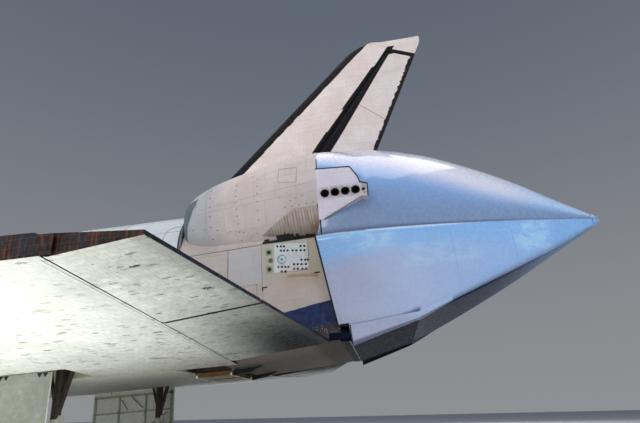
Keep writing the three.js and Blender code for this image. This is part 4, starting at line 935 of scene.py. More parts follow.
def cloth_material(name, base, shade):
    """Quilted liner: stitched squares, each a little different, with a woven grain."""
    material, g, shader = new_material(name, Sheen_Weight=0.2)
    inches = g.inches()
    squares = g.tiles(9, 9, 0.25, 0.6)
    worn = g.weather(inches, 40, 4)
    colour = g.layers(base,
        (squares["Tone"], shade, 0.5),
        (worn["Fine"], shade, 0.3),
        (squares["Joints"], "6f6f6b", 0.5))
    weave = g.add("TexWave", {"Vector": inches, "Scale": 3, "Distortion": 1}).outputs["Fac"]
    height = joint_height(g, squares["Joints"], weave, 1, 0.08)
    g.finish(shader, colour, g.ramp(worn["Fine"], 0, 1, 0.7, 0.9), height, 0.6, 0.006)
    return material


build_groups()
BODY_WHITE = white("body_tile", "e9e3dd", "dcd2cb", (36, 30), extra=body_marks)
DOOR_WHITE = white("door_felt", "d6dfe3", "c4cfd5", (30, 22), 0.3, 0.05)
SIDE_WHITE = white("aft_side_tile", "cfc5be", "bdb1a8", (34, 24), 0.4, 0.14, side_marks)
POD_WHITE = white("pod_felt", "d9cdcb", "c6b9b5", (29, 31), 0.4, 0.08, pod_marks)
FIN_WHITE = white("fin_felt", "f3e7e2", "e6d3cb", (26, 34), 0.3, 0.06, fin_marks)
HOUSING_WHITE = white("housing_tile", "e8e2ee", "d8cfdd", (11, 9), 0.2, 0.06, housing_marks)
WING_TILE = tile("wing_tile", "eceee7", "d6d9d1", "8f938c", 0.85, extra=wing_marks)
ELEVON_TILE = tile("elevon_tile", "d6d9d2", "b6bab2", "7c7f79", 0.8, extra=elevon_marks)
UPPER_WHITE = white("wing_upper_felt", "e3e0db", "cfcac4", (30, 30), 0.4)
DOOR_TILE = tile("gear_door_tile", "8e9188", "75786f", "5a5c56", 0.4)
EDGE_TILE = black("edge_tile", "1f1817", "382d29", 4.8, edge_marks)
NAVY_TILE = black("navy_tile", "141829", "262d45", 5)
FLAP_TILE = black("flap_tile", "091022", "131d38", 6.4, dust=0.12)
CARBON = carbon_material()
PAINT = paint_material()
# The fairing's underside: the same paint under painted shade.
SHADED_UNDER_PAINT = paint_material("fairing_underside_painted_shade", 0.98)
GEAR_PAINT = metal("gear_paint", "c9cac4", "6d6a62", (0.4, 0.65), 0.45)
BRACE_METAL = metal("brace_metal", "3b322b", "211c18", share=0.6, metallic=0.1, scuff=0.05)
STEEL = metal("steel", "b9b8b2", "6a6660", (0.25, 0.45), 0.3, 0.9, 1)
CHROME = metal("piston_chrome", "d5d6d8", "9a9894", (0.08, 0.2), 0.2, 1)
WHEEL_METAL = metal("wheel_metal", "c4c5c4", "77746d", (0.3, 0.5), metallic=0.7)
BRONZE = metal("bronze_door", "7a5a34", "2c2218", (0.35, 0.55), 0.55, 0.35, scuff=0.08)
PRIMER = metal("well_primer", "b3b89d", "6f705f", (0.5, 0.75), 0.5)
WHITE_TAB = metal("white_tab", "e7e8e4", "a7a49c", (0.35, 0.6), 0.3)
CABLE = metal("dark_hose", "26262a", "4b4742", (0.45, 0.7), 0.5)
PORT_BLACK = metal("port_black", "0e0e11", "1f1e20", scuff=0.03)
PORT_RED = metal("port_red", "7c2c38", "3f1820", (0.4, 0.6), metallic=0.1)
PORT_TEAL = metal("port_teal", "3f8f97", "2a5a60", (0.3, 0.5), metallic=0.2)
PORT_GREEN = metal("port_green", "556b58", "2c372e", (0.3, 0.5), metallic=0.2)
PLATE_WHITE = metal("plate_white", "bbb9a8", "8f8c7c", (0.35, 0.6), 0.3, 0.1)
SEAM_DARK = metal("seam_dark", "0f0e10", "231f1f", (0.6, 0.8), 0.5, scuff=0.04)
SEAM_GREY = metal("seam_grey", "7b7577", "5c5653", (0.6, 0.8), 0.5)
THROAT = metal("nozzle_throat", "070606", "120f10", (0.7, 0.9), 0.6, scuff=0)
PLATE_PALE = metal("plate_pale", "d4dadc", "9b9c98", (0.4, 0.6), 0.3)
RIBBED = white("ribbed_felt", "cabdb2", "b4a699", (40, 60), 0.2, 0.1, ribbed_marks)
KHAKI = metal("khaki_pad", "9b9d84", "6c6d58")
SEAM_TAN = metal("seam_tan", "a39489", "7d6f66", (0.6, 0.8))
TAN_METAL = metal("tan_metal", "9a8672", "5f4f42", metallic=0.1)
ROSE = metal("rose_heads", "c79aa4", "8a6a72")
SEAM_BLUE = metal("seam_blue", "7486b4", "56658a", (0.4, 0.6))
PALE_STRIP = metal("pale_strip", "c9cbc3", "8d8f88")
RUBBER = rubber_material()
GLASS = glass_material()
CABIN = metal("cabin_grey", "7d868c", "4c5257")
LINER = cloth_material("bay_liner", "e4e4de", "c3c3bb")
SIDE_FELT = white("side_felt", "e6e2dc", "d3cec7", (34, 22), 0.4)
RADIATOR = metal("radiator_silver", "c9ccce", "8f9498", (0.2, 0.4), 0.3, 0.5, 1)

# Fuselage: station, bottom z, shoulder z, top z, half width, bottom corner radius
BODY = [
    [236.4, 335.5, 338, 341.5, 3, 2],
    [239, 325, 338, 351, 15, 9],
    [247, 314.5, 339, 361.5, 27, 16],
    [258, 306, 340, 370.5, 37, 21],
    [268, 301, 341, 376.5, 43.5, 24],
    [290, 294.5, 343, 387, 53.5, 28],
    [325, 288.5, 349, 401.5, 66, 30],
    [365, 283.5, 357, 417, 78, 28],
    [404, 279.5, 366, 432, 87.5, 24],
    [416, 278.5, 369, 440, 90, 22],
    [436, 276.8, 376, 463, 93, 20],
    [453, 275.6, 382, 481, 95.5, 18],
    [468, 274.7, 387, 491, 97.5, 17],
    [492, 272.4, 394, 499, 100, 15],
    [530, 270.2, 403, 503.8, 103, 13],
    [582, 268, 412, 506, 106, 11],
]
NOSE_TIP = 236.0


def by_root(table, start, x):
    """A table's columns at stations x, read by the root of the distance from the start, which rounds the nose."""
    rows = [[math.sqrt(row[0] - start), *row[1:]] for row in table]
    return cubic(rows, np.sqrt(np.maximum(np.asarray(x, float) - start, 0))).T


def body_rows(x):
    return by_root(BODY, NOSE_TIP, x)


def body_ring(x):
    """Fuselage sections at stations x: a flat floor, quarter-circle corners, and a quarter ellipse up each
    side to the crown."""
    x = np.asarray(x, float)
    bottom, shoulder, top, half, corner = body_rows(x)[:, :, None]
    a = np.linspace(0, np.pi / 2, 7)
    b = np.linspace(0, np.pi / 2, 19)
    y = np.concatenate([half - corner + corner * np.sin(a), half * np.cos(b)], 1)
    z = np.concatenate([bottom + corner - corner * np.cos(a), shoulder + (top - shoulder) * np.sin(b)], 1)
    y = np.concatenate([y, -y[:, -2::-1]], 1)
    z = np.concatenate([z, z[:, -2::-1]], 1)
    return xyz(x[:, None], y, z)


def body_round(p):
    """Moves the points near the outer shell onto the smooth sections, and leaves the others."""
    x, y, z = p.T.copy()
    bottom, shoulder, top, half, corner = body_rows(x)
    side, wide = np.sign(y), np.abs(y)
    reach = np.hypot(wide / half, (z - shoulder) / (top - shoulder))
    crown = (z > shoulder) & (np.abs(1 - reach) * np.minimum(half, top - shoulder) < 2.6)
    y = np.where(crown, y / np.maximum(reach, 0.1), y)
    z = np.where(crown, shoulder + (z - shoulder) / np.maximum(reach, 0.1), z)
    wall = (z <= shoulder) & (z >= bottom + corner) & (np.abs(wide - half) < 2.2)
    y = np.where(wall, side * half, y)
    cy, cz = half - corner, bottom + corner
    turn = np.hypot(wide - cy, z - cz)
    low = (z < cz) & (wide > cy) & (np.abs(turn - corner) < 2.2) & ~wall & ~crown
    share = corner / np.maximum(turn, 0.1)
    y = np.where(low, side * (cy + (wide - cy) * share), y)
    z = np.where(low, cz + (z - cz) * share, z)
    floor = (wide <= cy) & (np.abs(z - bottom) < 2.2)
    z = np.where(floor & ~low, bottom, z)
    return xyz(x, y, z)


def depth_in_body(p):
    """How far inside the fuselage's outer shell points lie, about, in inches."""
    bottom, shoulder, top, half, _ = body_rows(p[:, 0])
    wide = np.abs(p[:, 1])
    reach = np.hypot(wide / half, np.maximum(p[:, 2] - shoulder, 0) / (top - shoulder))
    return np.minimum((1 - reach) * np.minimum(half, top - shoulder), p[:, 2] - bottom)


def forward_choice(middle, normal):
    """0 outer skin, 1 nose wheel well, 2 cabin walls."""
    depth = depth_in_body(middle.T)
    x, y, z = middle
    well = (x > 303.5) & (x < 400.5) & (np.abs(y) < 27.8) & (z < 336.5) & (depth > 0.8)
    room = (x > 409.5) & (x < 573.5) & (depth > 3.0) & ~well
    return np.where(well, 1, np.where(room, 2, 0))


def make_fuselage():
    nose = NOSE_TIP + 0.05 + 31.92 * np.linspace(0, 1, 26) ** 2
    nose_ring = body_ring(nose)
    nose_ring[0] = nose_ring[0].mean(0) * (0, 1, 1) + (NOSE_TIP, 0, 0)
    add_piece("nose_cap_shell", [closed(nose_ring)], CARBON, ["nose_cap"])
    add_skin("forward_fuselage", [BODY_WHITE, PRIMER, CABIN], 32, forward_choice, body_round,
             np.arange(274, 580, 9.0), np.arange(4, 180, 8.0), (0, 392))
    add_skin("crew_hatch", [BODY_WHITE, STEEL], 32,
             lambda m, n: m[1] < -104.2, body_round, (), np.arange(0, 40, 5.0), (0, 392))

    def bay_choice(m, n):
        inner = (np.hypot(m[1], np.minimum(m[2] - 400, 0)) < 94) & (m[2] > 305)
        belly = (n[2] < -0.8) & (m[2] < 270)
        return np.where(belly, 1, np.where(inner | (n[2] > 0.8), 2, 0))

    add_skin("payload_bay", [SIDE_FELT, WING_TILE, LINER], 32, bay_choice)
    for word in SIDES:
        # The radiator lines the faces that look inwards.
        add_skin(f"payload_door_{word}", [DOOR_WHITE, RADIATOR], 32,
                 lambda m, n: n[1] * m[1] + n[2] * np.maximum(m[2] - 420, 0) < 0)

    def aft_choice(m, n):
        x, y, z = m
        wide = np.abs(y)
        plate = (x > 1426.5) & (x < 1485.5) & (z > 372.8) & (z < 413.2) & (wide > 112.6) & (np.abs(n[1]) > 0.9)
        # A well by each feed-line door takes the dark brace metal: painted shade in the recess.
        well = (x > 1311) & (x < 1363) & (wide > 46) & (wide < 91) & (z < 290.5) & ~((n[2] < -0.8) & (z < 272))
        lugs = (x > 1502) & (z < 291) & (z > 281) & (wide > 109)
        pads = (z < 267.9) & (x < 1322)
        return np.where(plate, 1, np.where(well, 2, np.where(pads, 3, np.where(lugs, 4, 0))))

    add_skin("aft_fuselage", [SIDE_WHITE, PLATE_WHITE, BRACE_METAL, STEEL, FLAP_TILE], 32, aft_choice)
    add_skin("flight_deck", CABIN, 30)
    for name in ("windshield_glass", "roof_window_glass"):
        for slot in nodes[name].material_slots:
            slot.material = GLASS


def make_fin():
    def fin_choice(m, n):
        hinge = HINGE_FOOT[0] + (m[2] - HINGE_FOOT[1]) * HINGE_LEAN
        inner = (m[0] > hinge - 20) & (np.abs(n[1]) < 0.5) & (m[2] > 588) & (m[2] < 800)
        return np.where(inner & (m[0] > 1300), 1, 0)

    add_skin("vertical_fin", [FIN_WHITE, PORT_BLACK], 30, fin_choice)
    add_skin("rudder_hinge_tube", STEEL, 40)
    for word in SIDES:
        add_skin(f"rudder_panel_{word}", [FIN_WHITE, SEAM_DARK], 30,
                 lambda m, n: (np.abs(m[1]) < 0.8) & (np.abs(n[1]) > 0.7))


def wing_lower(wide):
    return 268 + (wide - 96) * 0.0618


def wing_choice(m, n):
    """0 lower tiles, 1 upper felt, 2 wheel well, 3 cove ahead of the elevons, 4 end tiles."""
    x, y, z = m
    wide = np.abs(y)
    lower = wing_lower(wide)
    hinge = 24.6 - (wide - 96) * 0.0286
    well = (x > 1035.5) & (x < 1206.5) & (wide > 110.5) & (wide < 171.5) & (z > lower + 0.6) & (z < 303.3)
    cove = (np.hypot(x - 1387, z - lower - hinge / 2) < hinge / 2 + 1.2) & (x > 1372)
    end = (np.abs(n[1]) > 0.9) & (wide > 460)
    under = n[2] < -0.12
    kind = np.where(under, 0, 1)
    kind = np.where(end, 4, kind)
    kind = np.where(cove, 3, kind)
    return np.where(well, 2, kind)


def elevon_choice(m, n):
    """0 lower tiles, 1 upper felt, 2 trailing edge, 3 end tiles."""
    kind = np.where(n[2] < 0.0, 0, 1)
    kind = np.where((n[0] > 0.6) & (m[0] > 1420), 2, kind)
    return np.where(np.abs(n[1]) > 0.9, 3, kind)


def make_wing(word, side):
    add_skin(f"wing_{word}", [WING_TILE, UPPER_WHITE, PRIMER, SEAM_DARK, EDGE_TILE], 32, wing_choice)
    add_skin(f"wing_leading_edge_{word}", [CARBON, EDGE_TILE], 60,
             lambda m, n: (np.abs(n[1]) > 0.9) & (np.abs(m[1]) > 460))
    for place_ in ("inboard", "outboard"):
        add_skin(f"elevon_{place_}_{word}", [ELEVON_TILE, UPPER_WHITE, NAVY_TILE, EDGE_TILE], 40,
                 elevon_choice)


def make_body_flap():
    add_skin("body_flap", [FLAP_TILE, UPPER_WHITE], 40, lambda m, n: n[2] > 0.3)


# Pod: station, centre y, centre z, half width, half height
POD = [
    [1307.5, 88.3, 461, 0.3, 0.5],
    [1309, 88, 462, 9, 15],
    [1315, 86, 464, 24, 30],
    [1328, 82, 465.5, 36, 43],
    [1350, 79, 467, 46, 54],
    [1385, 77, 471, 55, 61],
    [1430, 78, 474, 62, 67],
    [1470, 80, 476, 66, 71],
    [1508, 82, 476, 68.3, 73.3],
]
POD_START = 1307.5


def pod_point(x, angle, side):
    """Points on the pod: an ellipse at each station."""
    x, angle = spread(x, angle)
    y, z, half, high = by_root(POD, POD_START, x.ravel()).reshape(4, *x.shape)
    return xyz(x, side * (y + half * np.cos(angle)), z + high * np.sin(angle))


# Thruster housing: its outline in stations and heights, the distance of its face from the keel line, and the
# station, height and radius of each mouth
HOUSING = [(1506, 424), (1512, 424), (1561, 449), (1570, 448), (1571, 466), (1562, 469), (1559, 479), (1551, 493)]
HOUSING += [(1506, 496)]
HOUSING_FACE = 150
THRUSTERS = [(1516, 459, 5.2), (1529, 459, 5.2), (1542, 459, 5.2), (1555, 459, 5.2), (1565, 458.5, 1.7)]


def cut_by(piece, cutters):
    """Takes the cutters' solids out of a piece for good, and removes them."""
    for cutter in cutters:
        knife = piece.modifiers.new("cut", "BOOLEAN")
        knife.operation = "DIFFERENCE"
        knife.object = cutter
        knife.solver = "EXACT"
    bpy.context.view_layer.update()
    cut = bpy.data.meshes.new_from_object(piece.evaluated_get(bpy.context.evaluated_depsgraph_get()))
    piece.modifiers.clear()
    piece.data = cut
    for cutter in cutters:
        bpy.data.objects.remove(cutter)


def thruster_bores(side, wider, deep):
    face = side * HOUSING_FACE
    rods = [drum(cx, cz, r + wider, face + side * 2, face - side * deep, 40) for cx, cz, r in THRUSTERS]
    return link(bpy.data.objects.new("bores", mesh_of("bores", rods)))


def make_pod(word, side):
    x = POD_START + (1507 - POD_START) * np.linspace(0, 1, 62) ** 2
    angle = np.arange(96) * 2 * np.pi / 96
    shell = pod_point(x[:, None], angle[None], side)
    add_piece(f"engine_pod_shell_{word}", [closed(shell)], POD_WHITE,
              [f"engine_pod_{word}"])
    face = side * HOUSING_FACE
    block_ = prism(HOUSING, side * 122, face)
    housing = add_piece(f"thruster_housing_{word}", [block_], HOUSING_WHITE, sharp=25)
    cut_by(housing, [thruster_bores(side, 0.0, 9)])
    cups, lips = [], []
    for cx, cz, r in THRUSTERS:
        wall = [(r - 0.02, 0.15), (r * 0.9, 0.1), (r * 0.78, -3.0), (r * 0.42, -8.2), (0.0, -8.4)]
        back = [(0.0, -8.8), (r * 0.5, -8.8), (r - 0.02, -2.5)]
        profile = [(a, face + side * b) for a, b in wall + back]
        cups.append(lathe(profile + profile[:1], (cx, 0, cz), "y", 40))
        ring = [(r, 0), (r + 0.55, 0), (r + 0.45, 0.22), (r + 0.05, 0.3), (r, 0)]
        lips.append(lathe([(a, face + side * b) for a, b in ring], (cx, 0, cz), "y", 40))
    add_piece(f"thruster_cups_{word}", cups, THROAT)
    add_piece(f"thruster_lips_{word}", lips, PORT_BLACK)


# Tail fairing: station, bottom z, bottom half width, bottom corner radius, chine z and half width, top z
CONE = [
    [1496, 280.5, 124, 3, 403, 151, 562],
    [1530, 281.5, 125, 4, 405.5, 147.5, 571],
    [1570, 288, 122.5, 5, 408.3, 138.5, 575],
    [1613, 300.5, 117, 7, 411.4, 125.5, 573],
    [1665, 319.5, 104, 10, 415.1, 107, 561],
    [1709, 337.5, 90, 12, 418.3, 90.5, 543],
    [1751, 355.5, 73.5, 12, 421.2, 74, 522.5],
    [1791, 374, 56, 11, 424, 56.5, 500.5],
    [1829, 393, 38, 9, 426.6, 39, 476],
    [1862, 409.5, 22, 7, 429, 23.5, 455.5],
    [1885, 421, 10.5, 4, 430.5, 12, 441.5],
]
TIP_START, CONE_TIP = 1885, 1899.0
BAY_END = 1613.0
CHEEK = 118.3  # half width of the opening for the body flap


def shoulder_power(x):
    """The upper half's sections are superellipses (y/half)^n + (z/high)^n = 1. This is 2/n by station."""
    return 2 / np.interp(x, [1500, 1550, 1590, 1640, 1720], [2.4, 2.38, 2.28, 2.1, 2.04])


def pod_reach(turn):
    """How far the pods' rear section reaches from the middle of the chine line, by the angle above it: the
    farther root of the quadratic where a ray meets the pod's ellipse, or 0 where it misses."""
    y, z, half, high = 82.0, 72.0, 67.2, 73.0
    a = (np.cos(turn) / half) ** 2 + (np.sin(turn) / high) ** 2
    b = y * np.cos(turn) / half**2 + z * np.sin(turn) / high**2
    c = (y / half) ** 2 + (z / high) ** 2 - 1
    root = b * b - a * c
    return np.where(root > 0, (b + np.sqrt(np.maximum(root, 0))) / a, 0)


def cone_upper(x, angle):
    """Points on the upper half, above the chine. The angle runs from the starboard chine."""
    x, angle = spread(x, angle)
    _, _, _, chine, half, top = cubic(CONE, x.ravel()).T.reshape(6, *x.shape)
    power = shoulder_power(x)
    across = np.sign(np.cos(angle)) * np.abs(np.cos(angle)) ** power
    up = (top - chine) * np.maximum(np.sin(angle), 0) ** power
    # Behind the pods the section swells out to their outline, and the swelling dies away aft.
    wide = half * across
    reach = np.maximum(np.hypot(wide, up), 1e-3)
    swell = np.maximum(pod_reach(np.arctan2(up, np.abs(wide))) / reach - 1, 0)
    t = np.clip((1575 - x) / (1575 - 1506), 0, 1)
    swell = 1 + swell * t * t * (3 - 2 * t)
    return xyz(x, wide * swell, chine + 0.06 + up * swell)


def cone_side(x, down, side, z=None, proud=0):
    """Points on a lower side panel: a line from the chine to the bottom corner, bulged a little outwards.
    down runs from 0 at the chine to 1 at the corner. Where heights are given they stand for it, and the line
    runs on below the corner."""
    x, down, z = spread(x, down, math.nan if z is None else z)
    bottom, low, corner, chine, half, _ = cubic(CONE, x.ravel()).T.reshape(6, *x.shape)
    down = np.where(np.isnan(z), down, (chine - z) / (chine - bottom - corner))
    z = np.where(np.isnan(z), chine + (bottom + corner - chine) * down, z)
    bulge = 1.1 * 4 * np.maximum(down * (1 - down), 0) * half / 150
    return xyz(x, side * (half + (low + 0.1 * corner - half) * down + bulge + proud), z)


def side_point(x, z, side, proud=0):
    """Points on a lower side panel at given stations and heights."""
    return cone_side(x, 0, side, z, proud)


def upper_front(z):
    """Where the upper half begins, by height: behind the pods low on its sides, and at the fin's foot above."""
    return np.interp(z, [404, 412, 515, 540, 562], [1501, 1506.6, 1506.6, 1500, 1496.8])


def side_front(z):
    """Where a lower side panel begins, by height: it leans aft as it goes down, then steps aft at its foot."""
    lean = 1498.2 + (404 - z) * 0.152
    return np.where(z > 296.8, lean, 1528 + (296 - z) * 0.09)


def bay_roof(x):
    return np.interp(x, [1545, 1617], [300.5, 309])


def make_cone():
    angle = np.linspace(0, np.pi, 91)[None]
    start = upper_front(404 + 160 * np.sin(angle))
    x = start + (TIP_START - start) * np.concatenate([[0, 0.001], np.linspace(0.006, 1, 110)])[:, None]
    upper = add_piece("fairing_upper_shell", [grid(cone_upper(x, angle))], PAINT,
                      ["tail_fairing_upper"], shell=3.0)
    cut_by(upper, [thruster_bores(side, -0.15, 14) for side in (PORT, STARBOARD)])

    down = np.concatenate([np.linspace(0, 0.88, 14), [0.888, 0.891, 0.94, 1.0]])
    z_front = 403.2 - down * (403.2 - 283.6)
    front = side_front(z_front)
    share = np.linspace(0, 1, 42)[:, None]
    ahead = front[None] + (BAY_END - front[None]) * share
    behind = np.broadcast_to(np.linspace(BAY_END, TIP_START, 90)[1:, None], (89, len(down)))
    panel_x = np.concatenate([ahead, behind])
    parts = []
    for side in (PORT, STARBOARD):
        points = cone_side(panel_x, down[None], side)
        cheek = (points[..., 0] <= BAY_END) & (points[..., 2] < bay_roof(points[..., 0]) + 1)
        wide = np.abs(points[..., 1])
        points[..., 1] = side * np.where(cheek, np.maximum(wide, CHEEK), wide)
        parts.append(grid(points if side == PORT else points[:, ::-1]))
    # Aft of the flap's opening, a corner and a flat floor join the two side panels.
    aft = np.linspace(BAY_END, TIP_START, 90)
    bottom, low, corner, _, _, _ = cubic(CONE, aft).T[:, :, None]
    t = np.linspace(0, 1, 8)[None]
    y = (1 - t) ** 2 * (low + 0.1 * corner) + 2 * t * (1 - t) * low + t * t * (low - corner)
    z = (1 - t) ** 2 * (bottom + corner) + 2 * t * (1 - t) * bottom + t * t * bottom
    flat = np.linspace(1, 0, 9)[None, 1:]
    y = np.concatenate([y, (low - corner) * flat], 1)
    z = np.concatenate([z, np.broadcast_to(bottom, (len(aft), 8))], 1)
    y = np.concatenate([-y, y[:, -2::-1]], 1)
    z = np.concatenate([z, z[:, -2::-1]], 1)
    parts.append(grid(xyz(aft[:, None], y, z)))
    # The roof and the end wall of the opening
    roof_x = np.linspace(1516, BAY_END, 12)[:, None]
    roof_y = np.linspace(-CHEEK, CHEEK, 25)[None]
    parts.append(grid(xyz(roof_x, roof_y, bay_roof(roof_x))))
    wall_z = np.array([309.0, 305.0, 301.6])[:, None]
    parts.append(grid(xyz(BAY_END, np.linspace(-116.5, 116.5, 25), wall_z)))

    def paint_choice(m, n):
        """0 paint, 1 walls of the flap's opening, 2 underside, which carries painted shade."""
        bay = (m[0] < BAY_END + 1) & (np.abs(m[1]) < CHEEK - 0.3)
        return np.where(bay, 1, np.where(n[2] < -0.75, 2, 0))

    add_piece("fairing_lower_shell", parts, [PAINT, SEAM_DARK, SHADED_UNDER_PAINT],
              ["tail_fairing_lower"], shell=2.6, choose=paint_choice)


def make_skirt(word, side):
    """A skirt closes each side of the flap's opening. It hangs below the side panel and ends flush behind it."""
    x = np.concatenate([np.linspace(1529.4, BAY_END, 40), np.linspace(BAY_END, 1655, 16)[1:]])[:, None]
    t = np.linspace(0, 1, 15)[None]
    foot = cubic(CONE, x.ravel())[:, :1]
    top = np.interp(x, [1529, 1549, 1613, 1655], [295.6, 297.2, 305.8, 322.0])
    low = np.interp(x, [1529, 1612, 1655], [272.8, 296.6, foot[-1, 0] + 1.0])
    z = top + (low - top) * t
    wide = np.abs(side_point(x, z, side)[..., 1]) + 0.2 * np.interp(x, [1613, 1640], [1, 0]) * np.sin(np.pi * t)
    tuck = np.interp(x, [1529, 1613, 1655], [5.5, 4.2, 2.0]) * np.maximum((t - 0.72) / 0.28, 0) ** 2.2
    wide = wide - tuck
    inner_wide = np.minimum(np.maximum(CHEEK + 0.2, wide[:, -1:] - 6.0 * (x > BAY_END)), wide - 0.3)
    back = xyz(x, side * inner_wide, z)[:, ::-1]
    front = xyz(x, side * wide, z)
    skirt = closed(np.concatenate([front, back], 1))
    # Its faces that do not look outwards, ahead of station 1611, are near-black: painted shade in the gap beside the
    # flap.
    add_piece(f"fairing_skirt_{word}", [skirt], [PAINT, SEAM_DARK], sharp=40,
              choose=lambda m, n: (n[1] * np.sign(m[1]) < 0.2) & (m[0] < 1611))


def make_cone_ends():
    # A fixed lip between the fuselage's end and the flap's nose
    lip = [(1516, 280), (1527.2, 279.2), (1525.9, 281), (1524.4, 283.4), (1523.6, 286), (1523.6, 294), (1516, 294)]
    add_piece("flap_nose_lip", [prism(lip, -117, 117)], FLAP_TILE)
    edge = np.array([(1527.0, -116, 279.2), (1527.0, 116, 279.2)])
    add_piece("flap_nose_lip_edge", [strip(edge, (0, 0, -1), 0.9, 0.15)], PALE_STRIP)

    # The tip: the last section shrinks to a blunt point.
    t = np.linspace(0, 1, 16)[:, None]
    share = np.maximum(1 - t**1.5, 0) ** 0.8
    station = 1885.05 + (CONE_TIP - 1885.05) * t
    a = np.linspace(0, np.pi, 31)[None]
    chine, half, top, bottom = 430.5, 12.0, 441.5, 421.0
    middle = 431.0 + (chine - 431.0) * share
    upper = xyz(station, half * share * np.cos(a), middle + (top - chine) * share * np.sin(a))
    b = np.linspace(np.pi, 2 * np.pi, 31)[None, 1:-1]
    square = np.sign(np.sin(b)) * np.abs(np.sin(b)) ** 0.75
    lower = xyz(station, half * share * np.cos(b), middle + (chine - bottom) * share * square)
    tip = closed(np.concatenate([upper, lower], 1))
    add_piece("fairing_tip_shell", [tip], PAINT, ["tail_fairing_tip"], sharp=50)


# Wheels

MAIN_AXLE, NOSE_AXLE = 1178.0, 378.0  # stations
MAIN_TRACK = 136.0  # of the middle of a main gear's two wheels from the keel line
FLATTENED = math.cos(math.radians(7.5))  # the tread just meets the ground between two corners of its solid
WHEELS = {
    "main": {"r": 22.4 * FLATTENED, "half": 7.8, "offset": 17.5, "x": MAIN_AXLE, "joint": "main_wheels_port_spin"},
    "nose": {"r": 16.0 * FLATTENED, "half": 4.4, "offset": 11.5, "x": NOSE_AXLE, "joint": "nose_wheels_spin"},
}
RIM_SHARE = 0.52  # a rim's radius, as a share of its tyre's
WHEEL_HOLES = 9


def axle_height(kind):
    return unplace([joints[WHEELS[kind]["joint"]]["pos_m"]])[0][2]


def tyre_profile(r, half, grooves):
    """The section of a tyre, from the inner bead over the tread and back: a superellipse-like wall, a nearly
    flat tread, and square grooves round it."""
    rim = r * RIM_SHARE
    wall = [(rim, -half * 0.8), (r * 0.62, -half * 0.93), (r * 0.74, -half), (r * 0.86, -half * 0.97)]
    wall += [(r * 0.935, -half * 0.87), (r * 0.975, -half * 0.74), (r * 0.993, -half * 0.6)]
    tread = []
    for at in np.linspace(-half * 0.42, half * 0.42, grooves):
        w, deep = half * 0.035, r * 0.018
        tread += [(r, at - w * 1.2), (r - deep, at - w), (r - deep, at + w), (r, at + w * 1.2)]
    return wall + tread + [(a, -b) for a, b in reversed(wall)] + wall[:1]


def rim_profile(r, half, out):
    """The section of a rim from its axis on the inner side to its axis on the outer side: a hub, a dished
    web and a flange for the bead."""
    rim = r * RIM_SHARE - 0.1
    edge = half * 0.8
    face = [(0.0, edge * 0.96), (rim * 0.16, edge * 0.96), (rim * 0.2, edge * 0.86), (rim * 0.36, edge * 0.84)]
    face += [(rim * 0.4, edge * 0.5), (rim * 0.74, edge * 0.42), (rim * 0.82, edge * 0.7), (rim * 0.9, edge * 0.98)]
    face += [(rim * 0.985, edge * 1.02), (rim, edge * 0.9)]
    drop = [(rim * 0.93, edge * 0.6), (rim * 0.93, -edge * 0.6)]
    other = [(a, -b) for a, b in face]
    profile = face + drop + other[::-1]
    return [(a, b * out) for a, b in profile]


def make_wheels():
    sets = [("main", side, word, f"main_wheels_{word}") for word, side in SIDES.items()]
    sets.append(("nose", 0, "", "nose_wheels"))
    for kind, side, word, body in sets:
        size = WHEELS[kind]
        r, half, x, z = size["r"], size["half"], size["x"], axle_height(kind)
        centre_y = side * MAIN_TRACK
        tail = f"_{word}" if word else ""
        rims, holes, bolts, caps = [], [], [], []
        if kind == "main":
            names = {-1: f"main_tyre_{word}_inner", 1: f"main_tyre_{word}_outer"}
            ends = {-side: names[-1], side: names[1]}
        else:
            ends = {-1: "nose_tyre_port", 1: "nose_tyre_starboard"}
        for out, node in ends.items():
            middle = (x, centre_y + out * size["offset"], z)
            ring = lathe(tyre_profile(r, half, 4), middle, "y", 96)
            add_piece(node + "_rubber", [ring], RUBBER, [node], body=body, sharp=38)
            rims.append(lathe(rim_profile(r, half, out), middle, "y", 72))
            rim = r * RIM_SHARE
            for i in range(WHEEL_HOLES):
                a = 2 * math.pi * (i + 0.5) / WHEEL_HOLES
                cx, cz = x + rim * 0.58 * math.cos(a), z + rim * 0.58 * math.sin(a)
                depth = half * 0.8 * 0.455
                at = centre_y + out * (size["offset"] + depth)
                # Black discs stand for the holes through the web: painted shade inside the holes.
                holes.append(drum(cx, cz, rim * 0.085, at - 0.3, at + out * 0.12, 14))
                a += math.pi / WHEEL_HOLES
                cx, cz = x + rim * 0.28 * math.cos(a), z + rim * 0.28 * math.sin(a)
                at = centre_y + out * (size["offset"] + half * 0.8 * 0.85)
                bolts.append(drum(cx, cz, rim * 0.035, at - 0.4, at + out * 0.45, 6))
            at = centre_y + out * (size["offset"] + half * 0.76)
            cap = [(rim * a, at + out * b) for a, b in ((0.13, -0.5), (0.13, 0.5), (0.07, 0.9), (0, 1))]
            caps.append(lathe(cap, (x, 0, z), "y", 24))
        sleeve = 2.6 if kind == "main" else 1.9
        inner = size["offset"] - half * 0.78
        rims.append(bar((x, centre_y - inner, z), (x, centre_y + inner, z), sleeve, 24))
        add_piece(f"{kind}_rims{tail}_shell", rims + bolts + caps, WHEEL_METAL,
                  [f"{kind}_rims{tail}"], body=body, sharp=30)
        add_piece(f"{kind}_rims{tail}_vents", holes, PORT_BLACK, body=body)


